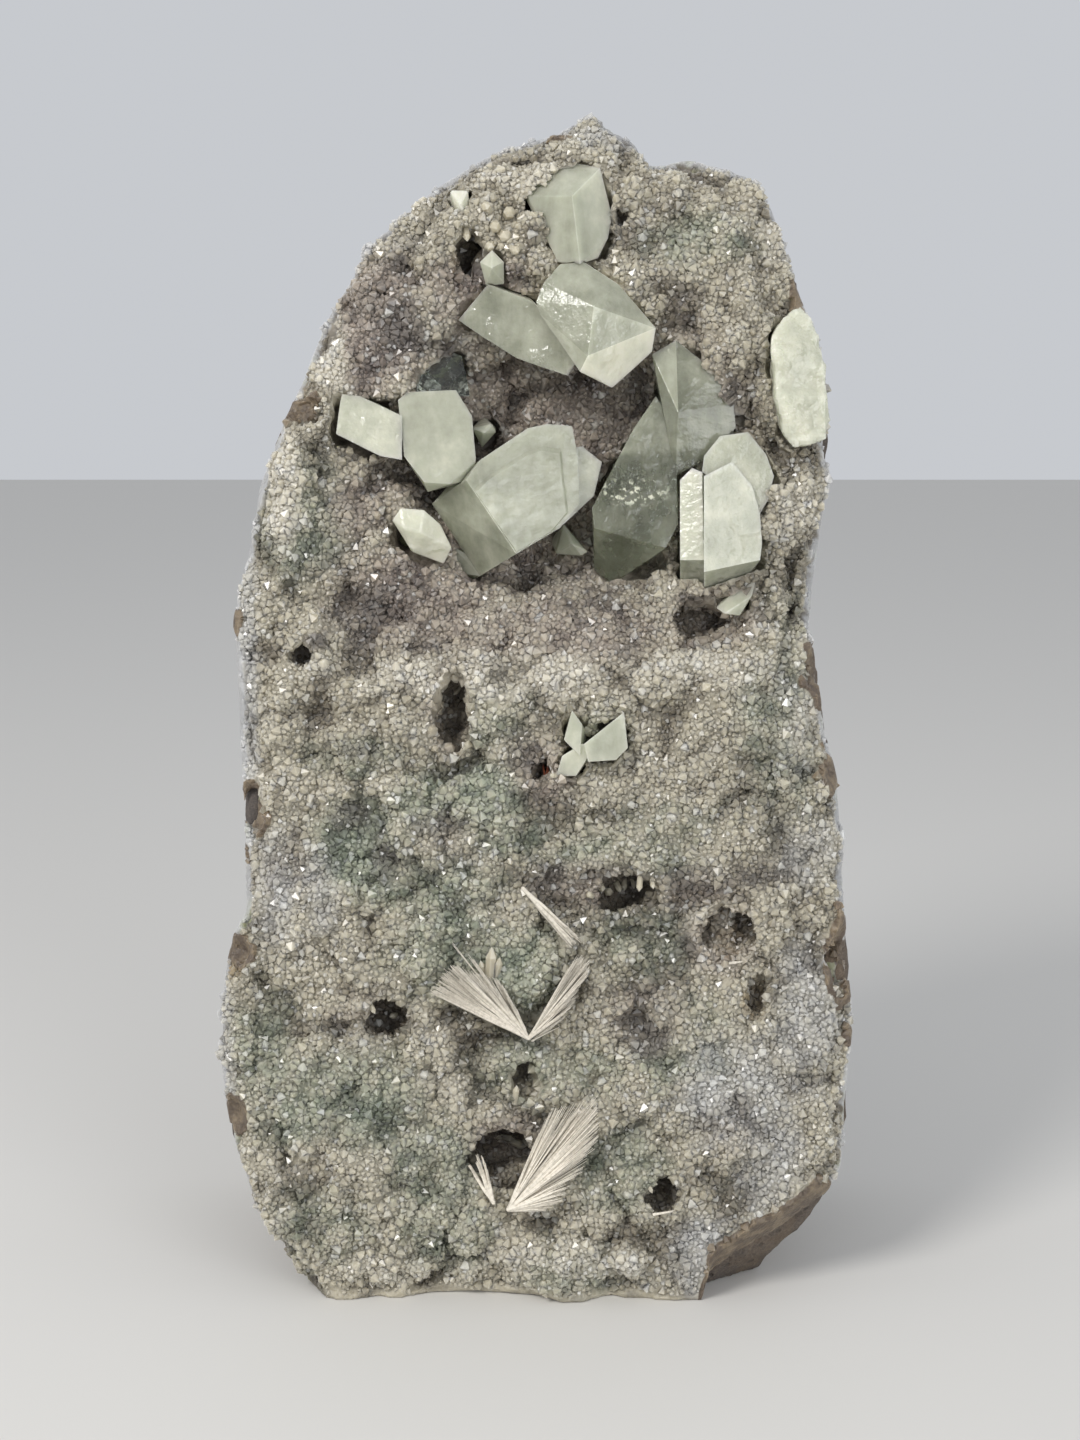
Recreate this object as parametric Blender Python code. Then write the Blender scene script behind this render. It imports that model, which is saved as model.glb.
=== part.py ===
"""A cabinet specimen of green apophyllite, standing on its sawn foot.

A slab of basalt carries a thick crust of druzy quartz on its front. Pale green apophyllite
crystals sit in the crust's upper hollow, and sprays of white scolecite in its lower half.
Everything is laid out on the front face, in millimetres: across (+ to the right), up the
face, and out (+ towards the viewer, 0 at the general level of the lower crust).
"""

import math

import bmesh
import bpy
from mathutils import Matrix, Vector, noise

MM = 0.001

# Driving sizes of the whole specimen
FACE_LEAN = math.radians(10)
BASE_DEPTH = 94.5
FACE_FOOT = (-0.2, -44.7)
GAP = 0.3
MIDDLE = (0.0, 140.0)

# The sides draw in behind the face: how far out, how far in, how much the notches even out
SIDE_SECTIONS = [(30, 0.5, 0.0), (-3, 0.0, 0.0), (-14, 0.0, 0.2), (-48, 4.0, 0.7), (-130, 14.0, 0.8)]
SIDE_ROUGHNESS = 2.2
SIGHT_FROM = 40.0
FOOT_BAND = 15.0
FOOT_OVERSHOOT = 23.0
BACK_ROUGHNESS = 5.0

# The druzy crust
CRUST_THICKNESS = 11.0
CRUST_CELL = 6.0
BASALT_CELL = 12.0
BLOCK_HALF_WIDTH = 84.0
BLOCK_RANGE = (-14.0, 306.0)
BLOCK_DEPTH = 150.0
EDGE_ROLL = 5.0
EDGE_ROLL_WIDTH = 9.0
CHIP_COVER = 2.5
PIT_MARGIN = 9.0
PIT_RIM = 7.0
CHIP_DEPTH = 6.0

# The eye that all corners were read from, on the face's own axes, and how far the edge lies back
EYE_DISTANCE = 560.0
EYE = (1.0, 147.0)
EDGE_BEHIND = 14.0

# Corners of the front's outline, clockwise from the peak
OUTLINE = [
    (14, 299), (22, 292), (23, 286), (31, 285), (38, 288), (54, 283), (59, 276), (65, 254.5),
    (71.5, 241), (74, 219.5), (73, 207), (69, 180), (68, 167), (70.5, 162), (72.5, 141),
    (75.5, 133), (76.5, 113), (78.5, 79.5), (79.5, 71), (77.5, 55), (76.5, 34.5), (69, 20),
    (58, 8), (46, 1), (24, 0), (20, 4), (17, 0), (9, -1), (1, 3), (-14, 4.5), (-26, 4.5),
    (-41.5, -1), (-50, -2), (-59, 9), (-71.5, 26), (-77, 47), (-79, 58), (-78, 84.5),
    (-76, 93), (-72, 97), (-73, 127), (-76, 172), (-70, 204.5), (-51.5, 249.5), (-40, 268),
    (-24, 281), (-10, 289.5), (7, 294),
]

# Hollows and rises of the front: across, up, half width, half height, height, share that is wall
RELIEF = [
    (6, 213, 52, 49, -20, 0.6),
    (-44, 177, 17, 13, -6, 1.0),
    (-21, 173, 8, 7, -3, 1.0),
    (42, 172, 21, 10, -6, 0.9),
    (13, 106, 19, 9, -5, 1.0),
    (-61, 112, 11, 11, -3, 1.0),
    (28, 70, 9, 8, -4, 1.0),
    (1, 137, 8, 10, -4, 1.0),
    (-8, 38, 11, 11, -4, 1.0),
    (5, 157, 78, 11, 3, 1.0),
    (-62, 215, 16, 34, 3, 1.0),
    (50, 264, 17, 17, 3, 1.0),
    (-40, 254, 14, 16, 2, 1.0),
    (-48, 40, 24, 30, 3, 1.0),
    (48, 130, 30, 24, 3, 1.0),
    (20, 20, 26, 18, 3, 1.0),
]

# Open pits in the crust: across, up, width, height, depth
PITS = [
    (-17, 264, 8, 13, 16),
    (21.5, 273.5, 5, 5.5, 8),
    (-21, 147.5, 8, 21, 15),
    (2, 134, 5, 8, 9),
    (23.5, 103, 15, 8, 14),
    (48, 92.5, 15, 14, 12),
    (55, 78, 7, 11, 9),
    (-38.5, 72, 8, 10.5, 12),
    (-3, 56, 7, 9.5, 14),
    (-8, 36.5, 15, 15, 13),
    (32, 27, 8.5, 9, 11),
    (42, 171.5, 19, 8, 11),
    (70.5, 126, 4, 4.5, 6),
    (-59, 163, 6, 6, 7),
]

# Chips along the edge, where the basalt shows: across, up, half width, half height
CHIPS = [
    (-58.5, 225, 6.5, 4),
    (-72.5, 125, 5, 9.5),
    (-76, 89, 5, 4),
    (-77, 47, 4.5, 7),
    (71, 159.5, 4, 8),
    (75.5, 134.5, 3.5, 6.5),
    (78, 86, 5, 11),
]

# The flat break across the lower right corner: a point on it and which way it faces, and then
# the druse that still hangs down beside it, which ends along a steep line through a point
BREAK_POINT = (57.5, 21.0, -2.0)
BREAK_NORMAL = (0.45, -0.68, 0.55)
BREAK_SIDE = (43.0, 6.0)
BREAK_SIDE_NORMAL = (-0.98, 0.21)


def smooth(x):
    x = min(1.0, max(0.0, x))
    return x * x * (3 - 2 * x)


def point(across, up, out):
    """A place on the face, in metres on the face's own axes."""
    return Vector((across, -out, up)) * MM


def edge_distance(across, up):
    """How far a place is from the nearest side of the outline."""
    place = Vector((across, up))
    nearest = math.inf
    for i, corner in enumerate(OUTLINE):
        start = Vector(corner)
        side = Vector(OUTLINE[i - 1]) - start
        along = max(0.0, min(1.0, (place - start).dot(side) / side.length_squared))
        nearest = min(nearest, (start + side * along - place).length)
    return nearest


def inside_outline(across, up):
    crossings = 0
    for i, (a, b) in enumerate(OUTLINE):
        c, d = OUTLINE[i - 1]
        if (b > up) != (d > up) and across < a + (c - a) * (up - b) / (d - b):
            crossings += 1
    return crossings % 2 == 1


def relief(across, up):
    """The broad shape of the front, before its lumps."""
    out = 0.0
    for x, y, half_width, half_height, height, wall in RELIEF:
        far = math.hypot((across - x) / half_width, (up - y) / half_height)
        out += height * smooth((1 - far) / wall)
    if inside_outline(across, up):
        roll = 1 - edge_distance(across, up) / EDGE_ROLL_WIDTH
    else:
        roll = 1.0
    return out - EDGE_ROLL * smooth(roll) ** 2


def lumps(across, up):
    """Cauliflower lumps of the druse, in three sizes."""
    big = noise.noise(Vector((across / 17, up / 17, 3.1)))
    middle = noise.noise(Vector((across / 8, up / 8, 7.7)))
    small = noise.noise(Vector((across / 4.6, up / 4.6, 11.3)))
    return 5.0 * big + 4.6 * abs(middle) + 1.6 * small - 1.0


def crust_front(across, up):
    return relief(across, up) + lumps(across, up)


def crust_back(across, up):
    """The basalt's surface under the crust: deeper below a pit, close to the surface at a chip."""
    depth = CRUST_THICKNESS - 5 * smooth((across - up * 0.5 - 20) / 40)
    for x, y, width, height, pit_depth in PITS:
        reach = (width / 2 + PIT_MARGIN, height / 2 + PIT_MARGIN)
        far = math.hypot((across - x) / reach[0], (up - y) / reach[1])
        depth += pit_depth * smooth(1.6 * (1 - far))
    shallow = 0.0
    for x, y, half_width, half_height in CHIPS:
        far = math.hypot((across - x) / (half_width + 4), (up - y) / (half_height + 4))
        shallow = max(shallow, smooth(2.2 * (1 - far)))
    depth += (CHIP_COVER - depth) * shallow
    return relief(across, up) + 0.5 * lumps(across, up) - depth


def helper(name, bm, parent=None):
    """A cutter, or a shape that isn't finished, left out of the specimen."""
    bm.normal_update()
    bmesh.ops.recalc_face_normals(bm, faces=bm.faces)
    mesh = bpy.data.meshes.new(name)
    bm.to_mesh(mesh)
    bm.free()
    made = bpy.data.objects.new(name, mesh)
    helpers.objects.link(made)
    made.parent = parent
    made.hide_render = True
    made.display_type = "WIRE"
    return made


def shown(piece, finish):
    """Moves a finished piece into the specimen and gives it its material."""
    helpers.objects.unlink(piece)
    specimen.objects.link(piece)
    piece.hide_render = False
    piece.display_type = "TEXTURED"
    piece.data.materials.clear()
    piece.data.materials.append(finish)
    return piece


def boolean(target, other, operation, solver="MANIFOLD"):
    modifier = target.modifiers.new(f"{operation.lower()} {other.name}", "BOOLEAN")
    modifier.operation = operation
    modifier.object = other
    modifier.solver = solver


def settle(target):
    """Replaces an object's mesh by what its modifiers make of it."""
    graph = bpy.context.evaluated_depsgraph_get()
    graph.update()
    mesh = bpy.data.meshes.new_from_object(target.evaluated_get(graph))
    target.modifiers.clear()
    target.data = mesh


def material(name, colour, roughness, transmission=0.0, ior=1.5):
    made = bpy.data.materials.new(name)
    made.use_nodes = True
    shader = made.node_tree.nodes["Principled BSDF"]
    shader.inputs["Base Color"].default_value = (*colour, 1.0)
    shader.inputs["Roughness"].default_value = roughness
    shader.inputs["Metallic"].default_value = 0.0
    shader.inputs["Transmission Weight"].default_value = transmission
    shader.inputs["IOR"].default_value = ior
    return made


def relief_block(name, surface, cell, lowered=0.0):
    """A deep block whose front is the given surface, on a square grid."""
    low, high = BLOCK_RANGE
    bm = bmesh.new()
    columns = round(2 * BLOCK_HALF_WIDTH / cell)
    rows = round((high - low) / cell)
    bmesh.ops.create_grid(bm, x_segments=columns, y_segments=rows, size=1.0)
    for vert in bm.verts:
        across = vert.co.x * BLOCK_HALF_WIDTH
        up = low + (vert.co.y + 1) / 2 * (high - low)
        vert.co = point(across, up, surface(across, up) - lowered)
    bmesh.ops.triangulate(bm, faces=bm.faces, quad_method="FIXED")
    back = bmesh.ops.extrude_face_region(bm, geom=bm.faces[:])
    for item in back["geom"]:
        if isinstance(item, bmesh.types.BMVert):
            item.co.y = BLOCK_DEPTH * MM
    return helper(name, bm, face)


def outline_ring(bm, out, inset, evened):
    """One section of the specimen's sides, which reaches below the floor behind the face."""
    ring = []
    count = len(OUTLINE)
    for i, (across, up) in enumerate(OUTLINE):
        before, after = OUTLINE[i - 1], OUTLINE[(i + 1) % count]
        across += evened * ((before[0] + after[0]) / 2 - across)
        up += evened * ((before[1] + after[1]) / 2 - up)
        if up < FOOT_BAND:
            up -= FOOT_OVERSHOOT * evened
        away = Vector((across - MIDDLE[0], up - MIDDLE[1]))
        rough = SIDE_ROUGHNESS * evened * noise.noise(Vector((i * 0.7, out * 0.05, 5.0)))
        away *= 1 - (inset + rough) / away.length
        # Seen from the eye, the edge lies a little behind the face
        away *= 1 + smooth(up / SIGHT_FROM) * min(EDGE_BEHIND, max(0.0, -out)) / EYE_DISTANCE
        ring.append(bm.verts.new(point(MIDDLE[0] + away.x, MIDDLE[1] + away.y, out)))
    return ring


def sides_of_specimen():
    """A closed loft through the sections of the outline, from before the face to behind the back."""
    bm = bmesh.new()
    rings = [outline_ring(bm, *section) for section in SIDE_SECTIONS]
    for near, far in zip(rings, rings[1:]):
        for i in range(len(near)):
            bm.faces.new((near[i - 1], near[i], far[i], far[i - 1]))
    bm.faces.new(rings[0])
    bm.faces.new(rings[-1])
    bmesh.ops.triangulate(bm, faces=bm.faces)
    return helper("sides", bm, face)


def floor_cutter():
    bm = bmesh.new()
    bmesh.ops.create_cube(bm, size=0.5)
    bmesh.ops.translate(bm, verts=bm.verts, vec=(0, 0, -0.25))
    return helper("floor", bm)


def back_cutter():
    """The upright, roughly broken back."""
    bm = bmesh.new()
    half_width, height, deep = 0.1, 0.32, 0.1
    bmesh.ops.create_grid(bm, x_segments=8, y_segments=14, size=1.0)
    for vert in bm.verts:
        x = vert.co.x * half_width
        z = (vert.co.y + 1) / 2 * height - 0.01
        rough = max(0.0, 0.5 + noise.noise(Vector((x * 30, z * 30, 1.0))) * 0.9)
        vert.co = Vector((x, (BASE_DEPTH / 2 - BACK_ROUGHNESS * rough) * MM, z))
    behind = bmesh.ops.extrude_face_region(bm, geom=bm.faces[:])
    for item in behind["geom"]:
        if isinstance(item, bmesh.types.BMVert):
            item.co.y = deep
    return helper("back", bm)


def break_cutter():
    """The room beyond the flat break at the lower right corner."""
    bm = bmesh.new()
    size = 0.16
    bmesh.ops.create_cube(bm, size=size)
    bmesh.ops.translate(bm, verts=bm.verts, vec=(0, 0, size / 2))
    normal = Vector((BREAK_NORMAL[0], -BREAK_NORMAL[2], BREAK_NORMAL[1])).normalized()
    turn = normal.to_track_quat("Z", "Y").to_matrix().to_4x4()
    bm.transform(Matrix.Translation(point(*BREAK_POINT)) @ turn)
    cut = bmesh.ops.bisect_plane(
        bm, geom=bm.verts[:] + bm.edges[:] + bm.faces[:], clear_outer=True,
        plane_co=point(*BREAK_SIDE, 0), plane_no=(BREAK_SIDE_NORMAL[0], 0, BREAK_SIDE_NORMAL[1]),
    )
    rim = [item for item in cut["geom_cut"] if isinstance(item, bmesh.types.BMEdge)]
    bmesh.ops.holes_fill(bm, edges=rim)
    return helper("corner break", bm, face)


def pit_cutter(index, across, up, width, height, depth):
    """A ragged funnel, wider at its mouth."""
    bm = bmesh.new()
    top = relief(across, up) + PIT_RIM
    bottom = relief(across, up) + 2 - depth
    bmesh.ops.create_cone(
        bm, cap_ends=True, segments=7, radius1=0.62, radius2=0.36, depth=1.0,
    )
    for vert in bm.verts:
        ragged = 1 + 0.3 * noise.noise(vert.co * 2 + Vector((index, 0, 0)))
        out = top if vert.co.z < 0 else bottom
        lean = 0.0 if vert.co.z < 0 else 0.12 * height
        vert.co = point(
            across + vert.co.x * width * ragged, up + vert.co.y * height * ragged + lean, out,
        )
    return helper(f"pit {index + 1}", bm, face)


def chip_cutter(index, across, up, half_width, half_height):
    """A shallow scoop that takes the crust off the edge and bares the basalt."""
    bm = bmesh.new()
    bmesh.ops.create_icosphere(bm, subdivisions=1, radius=1.0)
    middle = relief(across, up) + 4
    for vert in bm.verts:
        vert.co = point(
            across + vert.co.x * half_width * 1.1, up + vert.co.z * half_height * 1.1,
            middle - vert.co.y * (CHIP_DEPTH + 2),
        )
    return helper(f"chip {index + 1}", bm, face)


def sight(across, up, out):
    """A corner read off the front view, moved along the line of sight to its own depth."""
    share = 1 - out / EYE_DISTANCE
    return point(EYE[0] + (across - EYE[0]) * share, EYE[1] + (up - EYE[1]) * share, out)


def facet(corners, out, across_slope, up_slope):
    """The corners of one flat face: its first corner's height, and its slope across and up."""
    first = corners[0]
    return [
        (x, y, out + across_slope * (x - first[0]) + up_slope * (y - first[1]))
        for x, y in corners
    ]


def crystal(name, corners, root, root_size, root_out):
    """A convex crystal: its outer corners, and a square root of the given half size, buried."""
    bm = bmesh.new()
    for corner in corners:
        bm.verts.new(sight(*corner))
    for side in (-root_size, root_size):
        bm.verts.new(sight(root[0] + side, root[1], root_out))
        bm.verts.new(sight(root[0], root[1] + side, root_out))
    hull = bmesh.ops.convex_hull(bm, input=bm.verts[:])
    spare = [item for item in hull["geom_interior"] if isinstance(item, bmesh.types.BMVert)]
    bmesh.ops.delete(bm, geom=spare, context="VERTS")
    return helper(name, bm, face)


def grown(shape):
    """A convex shape made larger by the gap on every side."""
    bm = bmesh.new()
    bm.from_mesh(shape.data)
    bm.normal_update()
    moves = [vert.normal * vert.calc_shell_factor() * GAP * MM for vert in bm.verts]
    for vert, move in zip(bm.verts, moves):
        vert.co += move
    return helper(f"room for {shape.name}", bm, face)


def joined(shapes):
    first = shapes[0]
    for other in shapes[1:]:
        boolean(first, other, "UNION")
    settle(first)
    return first


def cluster(name, shapes, finish, behind=()):
    """Crystals that grew together, joined in one solid, and the pocket that they sit in.

    A cluster that grew behind others stops where they begin.
    """
    pocket = joined([grown(shape) for shape in shapes])
    pocket.name = f"pocket of {name}"
    made = joined(shapes)
    for other in behind:
        boolean(made, helpers.objects[f"pocket of {other}"], "DIFFERENCE")
    settle(made)
    made.name = name
    shown(made, finish)
    boolean(crust, pocket, "DIFFERENCE")
    boolean(basalt, pocket, "DIFFERENCE")


# Start from an empty scene
for old in list(bpy.data.objects):
    bpy.data.objects.remove(old, do_unlink=True)

specimen = bpy.data.collections.new("green apophyllite")
helpers = bpy.data.collections.new("cutters")
for group in (specimen, helpers):
    bpy.context.scene.collection.children.link(group)

face = bpy.data.objects.new("leaning_face", None)
specimen.objects.link(face)
face.rotation_euler.x = -FACE_LEAN
face.location = Vector((*FACE_FOOT, 0)) * MM

basalt_rock = material("basalt", (0.12, 0.085, 0.06), 0.85)
druse = material("druzy quartz", (0.50, 0.46, 0.38), 0.45)
apophyllite = material("apophyllite", (0.62, 0.72, 0.60), 0.12, transmission=0.6, ior=1.535)
scolecite = material("scolecite", (0.80, 0.76, 0.66), 0.4)

# Basalt and crust
sides = sides_of_specimen()
floor = floor_cutter()
back = back_cutter()
corner_break = break_cutter()

basalt = shown(relief_block("basalt_matrix", crust_back, BASALT_CELL, lowered=GAP), basalt_rock)
crust = shown(relief_block("druzy_quartz_crust", crust_front, CRUST_CELL), druse)
bedding = relief_block("bedding", crust_back, BASALT_CELL)

for solid in (basalt, crust):
    boolean(solid, sides, "INTERSECT", "EXACT")
    boolean(solid, floor, "DIFFERENCE", "EXACT")
    boolean(solid, back, "DIFFERENCE", "EXACT")
    boolean(solid, corner_break, "DIFFERENCE", "EXACT")
boolean(crust, bedding, "DIFFERENCE", "EXACT")
for number, pit in enumerate(PITS):
    boolean(crust, pit_cutter(number, *pit), "DIFFERENCE")
for number, chip in enumerate(CHIPS):
    boolean(crust, chip_cutter(number, *chip), "DIFFERENCE")

# Apophyllite: corners are across, up, out
cluster("apophyllite_upper_pair", [
    crystal("upper right", [
        (6, 261, 3), (12, 261.5, 3), (20.5, 256, 4), (30, 245, 2), (29, 239, 0), (23.5, 234, 0),
        (19, 230, 1), (16, 232, 4), (13, 238, 9), (14.5, 250.5, 10), (2, 256.5, 4),
        (11, 234, 6), (1, 248.5, 4), (0, 251.5, 4),
    ], (14, 250), 8, -17),
    crystal("upper left", facet([
        (-0.5, 251.5), (11, 238), (8, 233), (-1, 236), (-5, 237.5), (-13, 242.5), (-18, 246),
        (-19.5, 247), (-15, 252), (-12, 256),
    ], 1, 0.2, 0.12), (-3, 247), 7, -15),
], apophyllite)

cluster("apophyllite_top_tooth", [
    crystal("tooth", [
        (0, 284, -4), (7, 287, -3), (16, 285, 0), (9, 278, 6), (-2, 278, 0), (-4, 280, -3),
        (17.5, 278, -1), (19, 273, -2), (18, 267.5, -1), (15.5, 262.5, 0), (11, 261, 4),
        (1, 273, 1), (3.5, 267, 1), (5.5, 261.5, 1),
    ], (8, 272), 6, -10),
], apophyllite, behind=["apophyllite_upper_pair"])

cluster("apophyllite_left_cluster", [
    crystal("left", facet([
        (-46, 217), (-39, 213), (-33.5, 212), (-33.5, 223), (-40, 226), (-44, 228), (-48.5, 228.5),
        (-49, 226), (-50, 218.5),
    ], 2, 0.05, -0.25), (-43, 222), 6, -8),
    crystal("middle", facet([
        (-33, 213), (-28, 206.5), (-21.5, 206), (-15, 212), (-16, 223), (-20, 229.5),
        (-28.5, 228.5), (-32, 229), (-34.5, 227),
    ], 3, -0.12, -0.25) + [(-27, 204, -2), (-16, 207, -2)], (-26, 220), 7, -18),
    crystal("behind", facet([
        (-30, 228), (-16.5, 228), (-18.5, 238), (-24, 240), (-29, 237.5),
    ], -4, -0.1, -0.3), (-23, 233), 5, -17),
], apophyllite)

cluster("apophyllite_centre", [
    crystal("centre", facet([
        (-17.5, 207), (-5, 188.5), (6, 195), (11, 201), (10.5, 213), (9, 220.5),
        (3, 221), (-2, 220), (-14, 212),
    ], 3, -0.2, -0.14) + [(-14, 183, -9), (-26, 201, -8), (-22, 205.5, -5)], (-4, 204), 10, -27),
    crystal("centre ledge", facet([
        (0, 192.5), (7, 196), (14.5, 203), (16.5, 211.5), (13, 213), (11.5, 215.5), (0, 213),
    ], -1.5, -0.2, -0.14), (4, 204), 6, -22),
    crystal("under", [
        (-20.5, 190, -10), (-23, 184, -14), (-16, 182, -15), (-14, 183, -10),
        (-16, 188, -9),
    ], (-18, 187), 4, -17),
], apophyllite, behind=["apophyllite_left_cluster"])

cluster("apophyllite_small_left", [
    crystal("small left", [
        (-34, 200, 3), (-28, 199.5, 3), (-24, 196, 0), (-21, 190, -3), (-23, 186, -6),
        (-31, 189, -1), (-36, 197, 2), (-29, 194, 4), (-33, 195, 4),
    ], (-28, 194), 5, -13),
], apophyllite)

cluster("apophyllite_small_tooth", [
    crystal("small tooth", [
        (-16, 220, -8), (-11, 221, -8), (-10, 219, -9), (-13.5, 215, -12), (-13, 219, -6),
    ], (-13, 220), 3, -25),
], apophyllite)

cluster("apophyllite_glassy_tip", [
    crystal("glassy tip", [
        (7, 196, -13), (13, 189, -9), (11.5, 188, -10), (5, 188.5, -13), (9, 191, -9),
    ], (7, 192), 3.5, -24),
], apophyllite)

cluster("apophyllite_right_cluster", [
    crystal("front left", facet([
        (36, 207), (36, 187), (42, 187), (41.5, 209), (39, 210),
    ], 1, 0.3, -0.05) + [(42, 175, -10), (38.5, 176, -10), (36, 177.5, -11)],
        (42, 197), 6, -14),
    crystal("front right", facet([
        (42, 208), (42, 184), (56, 187), (56.5, 191), (56, 198.5), (54, 205.5), (49, 211.5),
    ], 4, -0.15, -0.05) + [(52, 181, -9), (47, 176, -11), (42, 175, -11)],
        (48, 197), 6, -10),
    crystal("behind right", facet([
        (41.5, 209), (56, 198.5), (58, 202), (59.5, 208), (57.5, 213.5), (53, 219), (46, 218),
        (42, 213),
    ], 1, -0.02, -0.03), (50, 209), 6, -10),
], apophyllite)

cluster("apophyllite_blades", [
    crystal("left blade", facet([
        (30, 228), (24.5, 220), (22, 214), (19, 208), (14, 200), (14.5, 195), (32.5, 190),
        (35.5, 196), (35, 220),
    ], -4, -0.05, -0.1) + [(14.5, 184.5, -14), (19, 181, -14), (29, 187, -12)],
        (27, 208), 9, -27),
    crystal("right blade", facet([
        (29, 238.5), (35, 242), (45, 234), (49.5, 226), (50, 220), (42, 212), (35, 208),
    ], -3, -0.04, -0.02) + [(35.5, 224, 0)], (37, 225), 6, -18),
], apophyllite, behind=["apophyllite_right_cluster"])

cluster("apophyllite_flat_chip", [
    crystal("flat chip", [
        (45, 175, -2), (49, 178.5, -2), (55, 182, -1), (54, 178, 1), (51, 173, 0),
        (47, 173.5, 0),
    ], (50, 178), 3, -10),
], apophyllite, behind=["apophyllite_right_cluster"])

cluster("apophyllite_right_edge", [
    crystal("edge upper", facet([
        (66.5, 251), (61.5, 248), (58.5, 243), (59, 236), (72.5, 233), (72, 239), (71, 243),
        (69, 248),
    ], 2, -0.15, -0.1), (63, 242), 4, -8),
    crystal("edge middle", facet([
        (59, 240), (60, 226), (72.5, 224), (73, 236),
    ], 5.5, -0.25, 0.05), (64, 232), 5, -8),
    crystal("edge lower", facet([
        (60, 229), (61, 223), (62, 218), (64.5, 215), (73, 217), (73.5, 222), (72.5, 228),
    ], 5.5, -0.25, 0.1), (64, 223), 4, -8),
], apophyllite)

cluster("apophyllite_lower_group", [
    crystal("lower right", facet([
        (12, 141), (22, 149), (23, 140), (20, 137), (13, 136.5),
    ], 5, -0.15, 0.1), (17, 141), 4, -6),
    crystal("lower left", facet([
        (6.5, 138), (5, 133), (10, 133), (15, 141), (11.5, 141),
    ], 3.5, 0.05, 0.2), (11, 138), 3, -7),
    crystal("lower top", facet([
        (9, 149.5), (11.5, 146), (11, 138), (7, 142),
    ], 4, 0.1, -0.05), (10, 143), 3, -6),
], apophyllite)

cluster("apophyllite_drop_crystal", [
    crystal("drop", [
        (-21.5, 279.5, -2), (-17, 279.5, -2), (-17.5, 274, -1), (-16, 268.5, -2),
        (-20, 273.5, -2), (-19, 276, 1),
    ], (-19, 275), 2.5, -8),
], apophyllite)

cluster("apophyllite_clear_prism", [
    crystal("clear prism", [
        (-14, 261.5, 1), (-11, 264.5, 1), (-8, 261.5, 1), (-8, 256, -1), (-12.5, 255.5, -1),
        (-11, 260, 3),
    ], (-11, 260), 2.5, -8),
], apophyllite, behind=["apophyllite_upper_pair"])


def fan(name, root, tips, rise, thickness):
    """A flat sheaf of needles from one root: out along its tips, which stand off the crust."""
    root_out = crust_front(*root) + 0.4
    bm = bmesh.new()
    for side in (0.0, -thickness):
        for across, up in (root, *tips):
            out = root_out if (across, up) == root else rise
            bm.verts.new(sight(across, up, out + side))
    bmesh.ops.convex_hull(bm, input=bm.verts[:])
    bmesh.ops.remove_doubles(bm, verts=bm.verts, dist=0.1 * MM)
    return helper(name, bm, face)


cluster("scolecite_upper_spray", [
    fan("upper left fan", (-2, 67), [
        (-27, 79), (-24.5, 82.5), (-23, 85.5), (-17, 89.5), (-9.5, 82.5), (-5, 75),
    ], 5.5, 2.2),
    fan("upper right fan", (-2.5, 67), [
        (11, 89), (13.5, 86), (13, 83), (9, 76), (5, 71.5),
    ], 5.5, 2.2),
    fan("long needles", (-2, 68), [(-27, 97.5), (-25.5, 98.5), (-22, 86)], 5.0, 1.2),
], scolecite)

cluster("scolecite_crossing_bundle", [
    fan("crossing bundle", (10.5, 89), [(-3.5, 105), (-2, 105), (11.5, 91.5)], 4.0, 1.8),
], scolecite)

cluster("scolecite_lower_spray", [
    fan("lower fan", (-7, 24.5), [
        (0, 41.5), (4, 48.5), (8, 50), (16, 52), (15.5, 42.5), (13, 35.5), (6.5, 27), (2.5, 25),
    ], 6.5, 2.4),
], scolecite)

cluster("scolecite_small_fan", [
    fan("small fan", (-11, 26), [(-17, 35), (-14.5, 38.5), (-10, 31)], 4.0, 2.0),
], scolecite)
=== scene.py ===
"""The looks of a cabinet specimen: green apophyllite and white scolecite on druzy quartz and basalt."""

import math
import random

import bmesh
import bpy
import numpy as np
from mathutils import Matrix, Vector, noise
from mathutils.bvhtree import BVHTree


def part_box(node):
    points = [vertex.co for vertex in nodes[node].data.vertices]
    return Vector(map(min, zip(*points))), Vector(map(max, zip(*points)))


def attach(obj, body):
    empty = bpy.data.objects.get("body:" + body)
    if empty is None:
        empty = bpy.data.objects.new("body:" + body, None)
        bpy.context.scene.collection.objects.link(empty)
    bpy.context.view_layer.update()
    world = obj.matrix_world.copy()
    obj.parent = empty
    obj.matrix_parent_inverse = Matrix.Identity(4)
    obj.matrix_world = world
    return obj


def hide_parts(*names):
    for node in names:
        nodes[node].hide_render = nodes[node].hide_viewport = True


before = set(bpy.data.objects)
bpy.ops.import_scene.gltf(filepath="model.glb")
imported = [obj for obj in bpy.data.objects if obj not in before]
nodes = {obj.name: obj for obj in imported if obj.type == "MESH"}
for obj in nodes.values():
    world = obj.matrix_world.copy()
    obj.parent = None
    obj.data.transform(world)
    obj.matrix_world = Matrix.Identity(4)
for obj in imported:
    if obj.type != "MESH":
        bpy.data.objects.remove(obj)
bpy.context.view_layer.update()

# The druzy quartz crust: one skin of chalcedony, 6 to 11 mm thick, grown on the wall of a gas
# pocket in the lava, then covered all over with quartz points of 1 to 3 mm. Its lumps, ledges
# and open pits come from the frame. Here its skin is made fine.
MM = 0.001
FACE_LEAN = math.radians(10)
FACE_FOOT = np.array((-0.0002, -0.0447, 0.0))
FACE_MIDDLE = (1.0, 147.0)
# Places on the leaning face are in its own millimetres: across, up and out towards the viewer
CRUST_VOXEL = 1.3 * MM
CRUST_SMOOTHING = 3
NOISE_SEED = 5

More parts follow.
